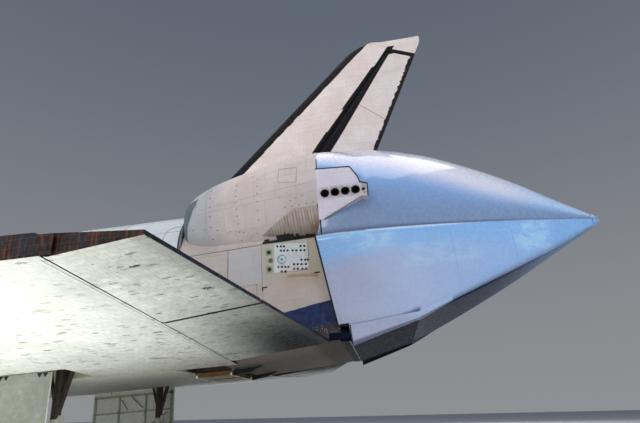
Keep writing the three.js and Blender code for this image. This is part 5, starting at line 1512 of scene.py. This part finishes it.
def make_main_gear(word, side):
    x, y, z = MAIN_AXLE, side * MAIN_TRACK, axle_height("main")

    def leg_choice(m, n):
        round_ = np.hypot(m[0] - x, m[1] - y)
        piston = (round_ < 4.3) & (m[2] < 217) & (m[2] > z + 4)
        return np.where(piston, 1, np.where(m[2] > 226, 2, 0))

    add_skin(f"main_gear_leg_{word}", [GEAR_PAINT, CHROME, BRACE_METAL], 40, leg_choice)
    add_skin(f"main_gear_door_{word}", [DOOR_TILE, WHITE_TAB], 30,
             lambda m, n: np.where((n[1] * side > 0.9) & (np.abs(m[1]) > 170), 0, 1))
    add_skin(f"nose_gear_door_{word}", [DOOR_TILE, GEAR_PAINT], 30,
             lambda m, n: np.where((n[1] * side > 0.9) & (np.abs(m[1]) > 26), 0, 1))
    add_skin(f"tank_line_door_{word}", [BRONZE, BRACE_METAL], 30, lambda m, n: n[2] > 0.9)


def make_nose_gear():
    add_skin("nose_gear_leg", [GEAR_PAINT], 40)
    add_skin("nose_gear_fork", [GEAR_PAINT, CHROME], 40,
             lambda m, n: (np.hypot(m[0] - NOSE_AXLE, m[1]) < 3.1) & (m[2] < 257.8))


make_fuselage()
make_fin()
both_sides(make_wing)
make_body_flap()
both_sides(make_pod)
make_cone()
both_sides(make_skirt)
make_cone_ends()
make_wheels()
both_sides(make_main_gear)
make_nose_gear()

# Small fittings. Each of the next functions gives places on one surface, from stations and heights.


def aft_side(x, z, side, proud=0):
    """Points on the upright side of the aft fuselage."""
    x, z = spread(x, z)
    y = np.interp(x, [1307, 1387, 1460, 1517], [106, 110, 115, 119]) + proud
    return xyz(x, side * y, z)


def pod_side(x, z, side, proud=0):
    """Points on the outer side of a pod, and on the fuselage where that lies farther out."""
    x, z = spread(x, z)
    y, cz, half, high = by_root(POD, POD_START, x.ravel()).reshape(4, *x.shape)
    wide = y + half * np.sqrt(np.maximum(1 - ((z - cz) / high) ** 2, 0))
    base = np.where(z < 421, np.abs(aft_side(x, z, 1)[..., 1]), 0)
    return xyz(x, side * (np.maximum(wide, base) + proud), z)


def cone_top_side(x, z, side):
    """Points on the side of the fairing's upper half."""
    x, z = spread(x, z)
    angle = np.linspace(0, np.pi / 2, 91)
    section = cone_upper(x.ravel()[:, None], angle[None])
    rise, out = section[..., 2], section[..., 1]
    k = np.clip((rise < z.ravel()[:, None]).sum(1) - 1, 0, len(angle) - 2)
    row = np.arange(len(k))
    share = (z.ravel() - rise[row, k]) / (rise[row, k + 1] - rise[row, k])
    wide = out[row, k] + share * (out[row, k + 1] - out[row, k])
    return xyz(x, side * wide.reshape(x.shape), z)


def flat_side(wide):
    """A surface at a fixed distance from the keel line."""

    def surface(x, z, side, proud):
        return xyz(x, side * (wide + proud), z)

    return surface


def frame_of(x0, x1, z0, z1):
    return [(x0, z0), (x1, z0), (x1, z1), (x0, z1)]


class On:
    """Small fittings on one surface of one side of the vehicle, at stations and heights."""

    def __init__(self, surface, side):
        self.surface, self.side = surface, side

    def at(self, x, z, proud=0):
        return self.surface(x, z, self.side, proud)

    def seam(self, points, width, height, closed=False):
        """Flat strips along the straight lines between points."""
        points = np.array(list(points) + ([points[0]] if closed else []), float)
        parts = []
        for a, b in zip(points[:-1], points[1:]):
            n = max(3, int(np.linalg.norm(b - a) / 5) + 2)
            way = (b - a) / np.linalg.norm(b - a) * width * 0.4
            line = np.linspace(a - way, b + way, n)
            parts.append(strip(self.at(*line.T), (0, self.side, 0), width, height, 0.25))
        return parts

    def port(self, x, z, radius, height, sides=16, rim=0.0):
        """A small round fitting, flat or with a raised rim."""
        y = self.at(x, z)[1]
        profile = [(radius, -0.6), (radius, height), (radius - 0.25, height + 0.12)]
        if rim:
            profile += [(radius - rim, height + 0.12), (radius - rim - 0.15, height - 0.4)]
        profile = [(r, y + self.side * h) for r, h in profile]
        return lathe(profile, (x, 0, z), "y", sides)

    def dots(self, a, b, pitch, radius, height):
        """A row of small round heads along a line, at equal steps."""
        a, b = np.array(a, float), np.array(b, float)
        n = int(np.linalg.norm(b - a) / pitch) + 1
        return [self.port(x, z, radius, height, 8) for x, z in np.linspace(a, b, n)]

    def patch(self, corners, proud, rows=6, columns=10):
        """A thin plate between four corners: a bilinear grid."""
        a, b, c, d = np.array(corners, float)
        u = np.linspace(0, 1, columns)[None, :, None]
        v = np.linspace(0, 1, rows)[:, None, None]
        flat = (1 - v) * ((1 - u) * a + u * b) + v * ((1 - u) * d + u * c)
        outer = self.at(flat[..., 0], flat[..., 1], proud)
        inner = self.at(flat[..., 0], flat[..., 1], -0.4)
        return slab(outer, inner)


def slab(outer, inner):
    """A solid between two sheets of points with the same rows and columns."""
    m, n = outer.shape[:2]
    ring = np.concatenate([outer, inner[:, ::-1]], 1)
    points, faces = grid(ring, round_=True)
    for row in (0, m - 1):
        base = row * 2 * n
        for k in range(n - 1):
            faces.append([base + k, base + k + 1, base + 2 * n - 2 - k, base + 2 * n - 1 - k])
    return points, faces


# Service plate: rows of small ports, from the height at station 1445 and the stations
PORT_ROWS = [
    (408.5, [1444.8, 1449.6, 1453.7, 1475.6, 1480.5]),
    (402.6, [1449.4, 1453.5, 1458.3, 1464.8, 1469.7, 1475.4, 1480.3]),
    (389.9, [1475.6, 1480.5, 1483.8]),
    (384.0, [1465.6, 1470.5, 1475.4, 1481.0]),
    (380.6, [1445.1, 1449.7, 1454.1, 1458.1]),
    (378.1, [1465.4, 1470.2, 1476.0, 1480.8]),
    (374.8, [1449.0, 1453.8]),
]
ROW_FALL = 0.128


def make_service_plate(word, side):
    face = On(lambda x, z, side, proud: aft_side(x, z, side, proud + 0.8), side)
    edges = [(1439, 373.5), (1484.6, 373.5), (1484.6, 407.5), (1440.5, 412.6)]
    add_piece(f"service_plate_face_{word}", [face.patch(edges, 0.25)], PLATE_PALE)
    dark, red, teal = [], [], []
    for height, stations in PORT_ROWS:
        for i, x in enumerate(stations):
            z = height - (x - 1445) * ROW_FALL
            into = red if (height < 382 and i % 3 != 1) else dark
            into.append(face.port(x, z, 1.55, 0.5))
            if i % 2:
                teal.append(face.port(x + 2.4, z + 2.6, 0.55, 0.35, 8))
    for x, z in ((1433, 402), (1433, 379)):
        dark.append(face.port(x, z, 2.5, 0.7, 24))
    ring = [(5.9, -0.3), (5.9, 0.9), (5.2, 1.0), (5.0, 0.5), (5.0, -0.3), (5.9, -0.3)]
    y = face.at(1450, 390)[1]
    teal.append(lathe([(r, y + side * h) for r, h in ring], (1450, 0, 390), "y", 40))
    teal.append(face.port(1450, 390, 1.5, 1.0, 20))
    pale = [face.port(1450, 390, 4.9, 0.3, 32), face.port(1467, 392, 4.0, 0.7, 32, 0.6)]
    pads = [face.patch(frame_of(x - 4.2, x + 4.2, z - 4.2, z + 4.2), 0.2, 3, 3)
            for x, z in ((1433, 402), (1433, 379))]
    add_piece(f"service_pads_{word}", pads, KHAKI)
    green = [face.port(1435, 390.5, 3.0, 0.8, 24, 0.9)]
    screws = face.dots((1428.5, 374.5), (1428.5, 411.5), 5.3, 0.4, 0.2)
    screws += face.dots((1483.8, 375), (1483.8, 405), 5.0, 0.4, 0.35)
    screws += face.dots((1430, 374.2), (1482, 374.2), 5.2, 0.4, 0.35)
    for name, parts, finish, slot in (
        ("service_ports_dark", dark, PORT_BLACK, "black_tile"),
        ("service_ports_red", red, PORT_RED, "black_tile"),
        ("service_ports_teal", teal, PORT_TEAL, "gear_metal"),
        ("service_ports_pale", pale, PLATE_PALE, "white_tile"),
        ("service_port_green", green, PORT_GREEN, "gear_metal"),
        ("service_plate_screws", screws, STEEL, "gear_metal"),
    ):
        add_piece(f"{name}_{word}", parts, finish)


def make_tail_side(word, side):
    pod, wall, cone = (On(surface, side) for surface in (pod_side, aft_side, side_point))
    face = On(flat_side(HOUSING_FACE), side)
    # A ribbed wedge of felt fairs the pod's foot into the fuselage over the service plate.
    u = np.linspace(0, 1, 120)[None]
    v = np.linspace(0, 1, 18)[:, None]
    x = 1426 + 79.5 * u + 0 * v
    low = 424 - 9.5 * u**0.8
    top = np.interp(x[:1], [1426, 1473, 1506, 1512], [424.3, 447.6, 446.4, 446])
    z = low + (top - low) * v
    lean = x + (z - 430) * 0.05
    ribs = 0.55 * np.abs(np.sin(np.pi * lean / 5.6)) ** 0.6
    edge = np.minimum(np.minimum(v, 1 - v) * (top - low) / 3.0, 1) * np.minimum(u * 12, 1)
    proud = (3.4 * u**0.5 + ribs) * edge**0.5 + 0.2
    outer = pod_side(x, z, side)
    outer[..., 1] += side * proud
    inner = pod_side(x, z, side, -0.6)
    add_piece(f"pod_foot_fairing_{word}", [slab(outer, inner)], RIBBED, sharp=60)

    # The black slot under it, uneven along its top, and the end of the fairing
    slot = [pod.patch([(1425, 414.6), (1511, 414.2), (1511, 418.4), (1425, 417.6)], 1.0, 3, 30)]
    for x0, x1, high in ((1428, 1434, 419.4), (1445, 1456, 421.2), (1456, 1468, 423.2), (1484, 1496, 423.0),
                         (1501, 1511, 424.5), (1471, 1475, 420.8)):
        slot.append(pod.patch(frame_of(x0, x1, 415.5, high), 2.6, 3, 5))
    slot.append(pod.patch([(1503, 404), (1507, 404), (1511, 418), (1505, 418)], 1.2, 4, 3))
    slot += pod.seam([(1508, 415), (1505.6, 446)], 1.8, 4.6)
    for x0, x1, low, high in ((1491, 1498, 366.0, 367.8), (1422, 1429, 355.6, 357.2), (1422, 1423.6, 352.2, 357),
                              (1386, 1393, 357.4, 359)):
        slot.append(wall.patch(frame_of(x0, x1, low, high), 0.5, 3, 3))
    add_piece(f"tail_slots_{word}", slot, SEAM_DARK)

    # Black seals: at the fairing's front edge, and round the thruster housing
    z_edge = np.linspace(403, 297.4, 30)
    front = side_front(z_edge) + 0.75
    seals = [strip(side_point(front, z_edge, side), (0, side, 0), 2.0, 0.35, 0.2)]
    z_edge = np.linspace(405, 424, 6)
    seals.append(strip(cone_top_side(1507.4, z_edge, side), (0, side, 0), 1.6, 0.4, 0.2))
    z_edge = np.linspace(497, 562, 22)
    line = cone_top_side(upper_front(z_edge) + 0.8, z_edge, side)
    seals.append(strip(line, (0, side, 0.5), 1.7, 0.4, 0.2))
    outline = [(1506.4, 495.2), (1550.6, 492.6), (1558.6, 478.6), (1561.6, 468.6), (1570.4, 465.8), (1569.6, 448.6)]
    seals += face.seam(outline, 1.5, 0.35)
    seals += cone.seam([(1513.6, 296.6), (1529.6, 295.8), (1530.2, 274.0)], 1.0, 0.6)
    add_piece(f"fairing_seals_{word}", seals, SEAM_DARK)

    # A thin rail from the housing's foot to its tail, with its fasteners
    rail = [bar((1512.8, side * 150.4, 424.2), (1561, side * 150.6, 448.4), 0.75, 8)]
    rail += face.dots((1516, 428.4), (1558, 450), 5.0, 0.42, 0.4)
    rail += [bar((1561, side * 150.5, 448.6), (1569.8, side * 150.5, 447.6), 0.7, 8)]
    add_piece(f"housing_rail_{word}", rail, TAN_METAL)
    rings = []
    for cx, cz, r in THRUSTERS[:4]:
        rings += [face.port(cx + (r + 2.2) * math.cos(a), cz + (r + 2.2) * math.sin(a), 0.35, 0.15, 6)
                  for a in np.arange(0, 2 * math.pi, math.pi / 4) + 0.39]
    add_piece(f"thruster_bolts_{word}", rings, SEAM_GREY)

    # Thin joints of the fuselage's side and the pod, and heads of fasteners along the fairing's edge
    thin = wall.seam(frame_of(1399, 1415, 349, 362), 0.5, 0.15, True)
    thin += wall.seam([(1376, 340), (1376, 412)], 0.5, 0.15)
    thin += wall.seam([(1422.5, 330), (1422.5, 413)], 0.5, 0.15)
    thin += wall.seam([(1312, 412), (1424, 414.5)], 0.9, 0.3)
    thin += wall.seam([(1378, 412), (1376, 362), (1422, 362)], 0.4, 0.12)
    add_piece(f"tail_joints_{word}", thin, SEAM_GREY)
    raised = pod.seam([(1456, 510), (1481, 506), (1480, 482), (1455, 486)], 0.7, 0.25, True)
    raised += pod.seam([(1352, 428), (1350, 520)], 0.45, 0.15)
    raised += pod.seam([(1340, 470), (1500, 478)], 0.4, 0.12)
    add_piece(f"pod_joints_{word}", raised, SEAM_TAN)
    heads = cone.dots((1504.5, 400), (1519.5, 302), 4.0, 0.55, 0.3)
    add_piece(f"fairing_fasteners_{word}", heads, ROSE)
    plugs = []
    for a, b, pitch in (((1397, 414), (1395, 498), 8.5), ((1425, 442), (1426, 500), 11.0),
                        ((1358, 430), (1356, 500), 14.0), ((1470, 458), (1486, 462), 7.0),
                        ((1462, 450.6), (1500, 451.2), 9.5), ((1330, 446), (1420, 428), 18.0)):
        plugs += pod.dots(a, b, pitch, 0.75, 0.2)
    add_piece(f"pod_plugs_{word}", plugs, SEAM_DARK)

    lines = cone.seam([(1530, 297.0), (1549, 298.6), (1613, 306.6)], 0.45, 0.45)
    for x, low in ((1668, 336), (1751, 372)):
        lines += cone.seam([(x, low), (x, 400 + (x - 1585) * 0.1)], 0.25, 0.06)
    add_piece(f"fairing_joints_{word}", lines, SEAM_BLUE)


def make_elevon_fittings(word, side):
    # A pale rub strip ahead of the hinge
    y = np.linspace(118, 462, 60)
    lower = wing_lower(y) - 0.02
    path = xyz(1380.6, side * y, lower)
    add_piece(f"elevon_rub_strip_{word}", [strip(path, (0, 0, -1), 1.3, 0.25)], PALE_STRIP)
    # A plate at the wing's end covers the joint with the elevon
    low, high = wing_lower(467.4), wing_lower(467.4) + 13.9
    outline = [(1371, low + 0.2), (1391, low + 0.7), (1391, high - 1.6), (1371, high - 0.3)]
    add_piece(f"wing_end_plate_{word}", [prism(outline, side * 467.2, side * 468.3)], EDGE_TILE)
    # Small dark blocks along the elevons' trailing edges
    for place_, spots in (("outboard", (341, 384, 452)), ("inboard", (133, 172, 229, 285))):
        blocks_ = []
        for wide in spots:
            x = ELEVON_END - ELEVON_SWEEP * wide
            z = wing_lower(wide) + 10 - (4 * (wide - 115)) / 350
            blocks_.append(block(x - 2.4, x + 0.5, side * (wide - 2.6), side * (wide + 2.6), z + 0.3, z + 2.6))
        add_piece(f"elevon_edge_blocks_{place_}_{word}", blocks_, SEAM_DARK,
                  body=f"elevon_{place_}_{word}")


def make_main_gear_fittings(word, side):
    z = axle_height("main")
    # Inner frame of the door: rails round its edge, ribs, teeth along its top, and three red rods
    inner = side * 168.4
    door = On(flat_side(170.8), side)
    rails = []
    for x0, x1, z0, z1 in ((1042, 1188, 262, 266), (1042, 1188, 209, 213), (1042, 1046, 209, 266),
                           (1184, 1188, 209, 266), (1088, 1091, 211, 264), (1137, 1140, 211, 264),
                           (1044, 1186, 235.5, 238)):
        rails.append(block(x0, x1, inner - side * 1.8, inner + side * 0.3, z0, z1))
    teeth = [door.patch([(x - 3.4, 271.3), (x + 3.4, 271.3), (x + 0.4, 266.6), (x - 0.4, 266.6)],
                   0.15, 3, 3) for x in (1052, 1059, 1066, 1092, 1099, 1121, 1128, 1135, 1176, 1183)]
    add_piece(f"main_door_teeth_{word}", teeth, SEAM_DARK)
    add_piece(f"main_door_ribs_{word}", rails, PRIMER, sharp=30)
    rods = [bar((1094, side * 166.2, 258), (1106, side * 166.2, 240), 0.6, 8)]
    rods += [bar((1112, side * 166.2, 262), (1134, side * 166.2, 242), 0.6, 8)]
    rods += [bar((1150, side * 166.2, 215), (1180, side * 166.2, 232), 0.6, 8)]
    add_piece(f"main_door_rods_{word}", rods, PORT_RED)
    # End fittings of the drag brace, torque link, and brake hoses along the leg
    y = side * MAIN_TRACK
    brace = [drum(1203, 299, 3.6, y - 3, y + 3, 20), drum(1179, 233, 3.4, y - 3, y + 3, 20)]
    add_piece(f"main_braces_{word}", brace, BRACE_METAL)
    link_ = [bar((1184, y, 213), (1192, y, 205), 1.5, 10), bar((1192, y, 205), (1184, y, z + 7), 1.5, 10)]
    link_.append(drum(1192, 205, 2.0, y - 2.4, y + 2.4, 14))
    add_piece(f"main_torque_link_{word}", link_, GEAR_PAINT)
    hoses = []
    for off, out in ((-1.6, -4.6), (1.6, -4.9), (0.2, 4.7)):
        path = bend((1176 + off, y + out, 222), (1173 + off, y + out * 1.1, 208), (1175 + off, y + out * 1.2, z + 9),
                    (1179 + off, y + out * 1.5, z + 3.5))
        hoses.append(pipe(path, 0.42, 8))
    add_piece(f"main_hoses_{word}", hoses, CABLE)
    # Brake stacks inside each rim, which stay with the leg
    stacks = []
    for out in (-1, 1):
        at = y + out * 8.2
        stacks.append(lathe([(3.4, at - 1.2), (7.6, at - 1.2), (7.6, at + 1.2), (3.4, at + 1.2), (3.4, at - 1.2)],
                            (MAIN_AXLE, 0, z), "y", 36))
        for i in range(8):
            a = i * math.pi / 4 + 0.2
            stacks.append(drum(MAIN_AXLE + 5.6 * math.cos(a), z + 5.6 * math.sin(a), 1.0, at - out * 2.4, at, 10))
    add_piece(f"main_brakes_{word}", stacks, BRACE_METAL)
    # Wheel well: ribs across the roof, and pipes along the walls
    ribs = [block(x - 0.9, x + 0.9, side * 112, side * 170.5, 298.4, 303.2) for x in range(1046, 1206, 16)]
    add_piece(f"main_well_ribs_{word}", ribs, PRIMER)
    pipes = [pipe(bend((1040, side * w, h), (1090, side * w, h + 1), (1160, side * w, h - 1), (1202, side * w, h)),
                  r, 8) for w, h, r in ((114.5, 290, 0.8), (114.5, 286.5, 0.6), (167.8, 289, 0.8))]
    add_piece(f"main_well_pipes_{word}", pipes, STEEL)

    # Feed-line door: pale end tabs and a dark tapered fairing behind it
    tabs = [block(x - 1.2, x + 1.2, side * 6, side * 46.3, 261.3, 265.9) for x in (1313.4, 1360.6)]
    add_piece(f"tank_door_tabs_{word}", tabs, WHITE_TAB, body=f"tank_line_door_{word}")
    tail = [prism([(1364.5, 266.5), (1364.5, 260.2), (1388, 263.4), (1404, 269.6)], side * 44, side * 50)]
    add_piece(f"tank_door_tail_{word}", tail, SEAM_DARK)


def make_nose_gear_fittings():
    # The nose gear's torque link and hoses, and ribs across its well
    z = axle_height("nose")
    link_ = [bar((383.5, 0, 248), (391, 0, 243), 1.1, 10), bar((391, 0, 243), (383, 0, z + 5), 1.1, 10)]
    link_.append(drum(391, 243, 1.5, -2, 2, 14))
    add_piece("nose_torque_link", link_, GEAR_PAINT, body="nose_steering")
    hoses = [pipe(bend((376, s * 3.9, 262), (373.6, s * 4.4, 252), (374.5, s * 4.2, z + 8)), 0.36, 8)
             for s in (PORT, STARBOARD)]
    add_piece("nose_hoses", hoses, CABLE, body="nose_steering")
    ribs = [block(x - 0.7, x + 0.7, -27.2, 27.2, 333.2, 336.0) for x in range(312, 400, 12)]
    add_piece("nose_well_ribs", ribs, PRIMER)


SILL, DOOR_HALF, DOOR_RISE = 420.5, 106.0, 85.5  # height of the doors' hinges, and the doors' quarter ellipse


def crown_point(x, a, side):
    """Points on a payload door, at stations and angles above its sill."""
    x, a = spread(x, a)
    return xyz(x, side * DOOR_HALF * np.cos(a), SILL + DOOR_RISE * np.sin(a))


def crown_strip(x, a, side, width, height):
    """A strip on a payload door along a path of stations and angles."""
    x, a = spread(x, a)
    out = xyz(0 * a, side * np.cos(a), np.sin(a))
    return strip(crown_point(x, a, side), out, width, height, 0.5)


def make_crown_details(word, side):
    a = np.linspace(0.04, math.pi / 2 - 0.02, 30)
    body = f"payload_door_{word}"
    joints_ = [crown_strip(x, a, side, 0.6, 0.12) for x in (672, 762, 852, 942, 1032, 1122, 1212)]
    along = np.linspace(583.5, 1305.5, 30)
    joints_ += [crown_strip(along, angle, side, 0.4, 0.1) for angle in (0.42, 0.86, 1.24)]
    corner = [(1281, 437), (1281.6, 448), (1284, 457), (1291, 463.4), (1303, 466)]
    heights = np.array([(z - SILL) / DOOR_RISE for _, z in corner])
    joints_.append(crown_strip([x for x, _ in corner], np.arcsin(heights), side, 0.8, 0.2))
    add_piece(f"payload_door_joints_{word}", joints_, SEAM_GREY, body=body)
    seals = [crown_strip(x, a, side, 2.2, 0.35) for x in (584.2, 1305.0)]
    seals.append(crown_strip(along, math.pi / 2 - 0.012, side, 1.2, 0.2))
    add_piece(f"payload_door_seals_{word}", seals, SEAM_DARK, body=body)
    wall = On(flat_side(DOOR_HALF), side)
    frames_, louvres = [], []
    for x in (636, 770, 905, 1040, 1180, 1268):
        frames_ += wall.seam(frame_of(x, x + 18, 392, 402), 0.6, 0.2, True)
        louvres.append(wall.patch(frame_of(x + 1.4, x + 16.6, 393.4, 400.6), 0.1, 3, 3))
    add_piece(f"side_vent_frames_{word}", frames_, SEAM_GREY)
    add_piece(f"side_vents_{word}", louvres, PORT_BLACK)


def skin_hit(start, way):
    """Where rays from a point inside the fuselage meet its outer shell, found by halving."""
    start, way = np.asarray(start, float), np.asarray(way, float)
    near, far = np.zeros(len(way)), np.full(len(way), 125.0)
    for _ in range(24):
        middle = (near + far) / 2
        inner = depth_in_body(start + way * middle[:, None]) > 0
        near, far = np.where(inner, middle, near), np.where(inner, far, middle)
    return start + way * near[:, None]


PILOT_EYE = (485.0, 0.0, 455.0)
PANES = [(3, 26), (30, 55), (59, 83)]  # from and to, in degrees round from straight ahead


def make_forward_details():
    rims = []
    for side in (PORT, STARBOARD):
        for first, last in PANES:
            corners = np.array([(first, -7), (last, -7), (last, 25), (first, 25), (first, -7)], float)
            round_, up = np.radians(np.concatenate(
                [np.linspace(p, q, 12) for p, q in zip(corners[:-1], corners[1:])])).T
            way = xyz(-np.cos(round_) * np.cos(up), side * np.sin(round_) * np.cos(up), np.sin(up))
            rims.append(strip(skin_hit(PILOT_EYE, way), way, 1.8, 0.5, 0.6))
    add_piece("windshield_frames", rims, PORT_BLACK)
    rims = []
    for side in (PORT, STARBOARD):
        corners = np.array([(500, 9), (522, 9), (522, 33), (500, 33), (500, 9)], float)
        x, y = np.concatenate([np.linspace(p, q, 6) for p, q in zip(corners[:-1], corners[1:])]).T
        _, shoulder, top, half, _ = body_rows(x)
        z = shoulder + (top - shoulder) * np.sqrt(1 - (y / half) ** 2)
        rims.append(strip(xyz(x, side * y, z), (0, 0, 1), 1.6, 0.5, 0.6))
    add_piece("roof_window_frames", rims, STEEL)

    # Hatch: a ring round it, and its small window
    def body_side(x, z, side, proud):
        x, z = spread(x, z)
        half = body_rows(x.ravel())[3].reshape(x.shape)
        return xyz(x, side * (half + proud), z)

    hull = On(body_side, PORT)
    station, height, radius = 512, 366, 21.2
    turn = np.linspace(0, 2 * math.pi, 40, endpoint=False)
    ring = np.stack([station + radius * np.cos(turn), height + radius * np.sin(turn)], 1)
    add_piece("hatch_surround", hull.seam(ring, 0.9, 0.25, True), SEAM_DARK)
    window = [hull.port(station, height + 2, 5.2, 0.4, 32, 0.9)]
    add_piece("hatch_window", window, PORT_BLACK, body="crew_hatch")

    # Forward thrusters: three on top and four on each side, each a dark mouth in a pale ring
    mouths, rings = [], []
    spots = [(346, 90), (346, 76), (346, 104)]
    for x, a in ((318, 24), (333, 22), (361, 8), (377, 8)):
        spots += [(x, a), (x, 180 - a)]
    for x, degrees in spots:
        a = math.radians(degrees)
        way = np.array([[0, math.cos(a), math.sin(a)]])
        at = skin_hit((x, 0, 350), way)[0]
        mouths.append(pipe([at - way[0], at + way[0] * 0.42], 3.1, 24))
        rings.append(pipe([at - way[0], at + way[0] * 0.3], 3.9, 24))
    add_piece("forward_thruster_mouths", mouths, THROAT)
    add_piece("forward_thruster_rings", rings, SEAM_GREY)


both_sides(make_service_plate)
both_sides(make_tail_side)
both_sides(make_crown_details)
make_forward_details()
both_sides(make_elevon_fittings)
both_sides(make_main_gear_fittings)
make_nose_gear_fittings()

# Stage

FLOOR = 300.0  # half the floor's side, in metres


def add_stage():
    """A plain pale floor at the height of the wheels, a soft sky, and large soft lamps."""
    mesh = bpy.data.meshes.new("floor")
    corners = [(a * FLOOR, b * FLOOR, 0) for a, b in ((-1, -1), (1, -1), (1, 1), (-1, 1))]
    mesh.from_pydata(corners, [], [(0, 1, 2, 3)])
    floor = link(bpy.data.objects.new("floor", mesh))
    material, g, shader = new_material("floor_pale", Roughness=0.75)
    where = g.add("TexCoord").outputs["Object"]
    tone = g.ramp(g.noise(where, 0.25, 3), 0.3, 0.7)
    g.feed(shader["Base Color"], g.tint("d9dadc", tone, "e2e2e3"))
    mesh.materials.append(material)

    world = bpy.data.worlds.new("soft_sky")
    bpy.context.scene.world = world
    world.use_nodes = True
    g = Graph(world.node_tree)
    sky = world.node_tree.nodes["Background"]
    up = g.xyz(g.add("TexCoord").outputs["Generated"])["Z"]
    shade = g.tint("e3e6ea", g.ramp(up, -0.1, 0.9), "8f9db4")
    g.feed(sky.inputs["Color"], shade)
    sky.inputs["Strength"].default_value = 0.36

    def lamp(name, location, aim, size, power, colour, spread=180):
        data = bpy.data.lights.new(name, "AREA")
        data.shape = "RECTANGLE"
        data.size, data.size_y = size
        data.energy = power
        data.color = colour
        light = link(bpy.data.objects.new(name, data))
        way = np.array(aim, float) - np.array(location, float)
        away = -way / np.linalg.norm(way)
        side = np.cross([0, 0, 1] if abs(away[2]) < 0.99 * np.linalg.norm(away) else [0, 1, 0], away)
        side /= np.linalg.norm(side)
        pose = np.eye(4)
        pose[:3, :3] = np.stack([side, np.cross(away, side), away], 1)
        pose[:3, 3] = location
        light.matrix_world = Matrix(pose.tolist())
        light.visible_camera = False
        light.visible_glossy = name in ("overhead", "port_high")
        data.spread = math.radians(spread)

    lamp("overhead", (2, 0, 24), (2, 0, 0), (30, 18), 3400, (1, 0.97, 0.94))
    lamp("port_low", (-8, -24, 3.6), (1, -2, 2.2), (26, 4.5), 560, (1, 0.98, 0.95))
    lamp("port_high", (-2, -22, 17), (5, 0, 7.5), (20, 8), 1900, (1, 0.95, 0.92))
    lamp("tail_cool", (15, -15, 5), (10, 0, 4.6), (6, 3), 105, (0.56, 0.76, 1), 60)
    lamp("starboard_back", (2, 26, 12), (0, 0, 2.5), (30, 10), 2000, (0.95, 0.97, 1))
    lamp("port_bounce", (-0.5, -6.6, 0.04), (-0.5, -6.6, 2), (8.5, 5), 560, (1, 1, 0.97))
    lamp("belly_bounce", (0.4, -2.4, 0.04), (0.4, -2.4, 2), (4.5, 2), 55, (1, 1, 0.97))
    lamp("starboard_bounce", (-2.5, 8.2, 0.04), (-2.5, 8.2, 2), (9, 5), 600, (1, 1, 0.97))
    scene = bpy.context.scene
    scene.view_settings.view_transform = "Standard"
    scene.view_settings.look = "None"


add_stage()
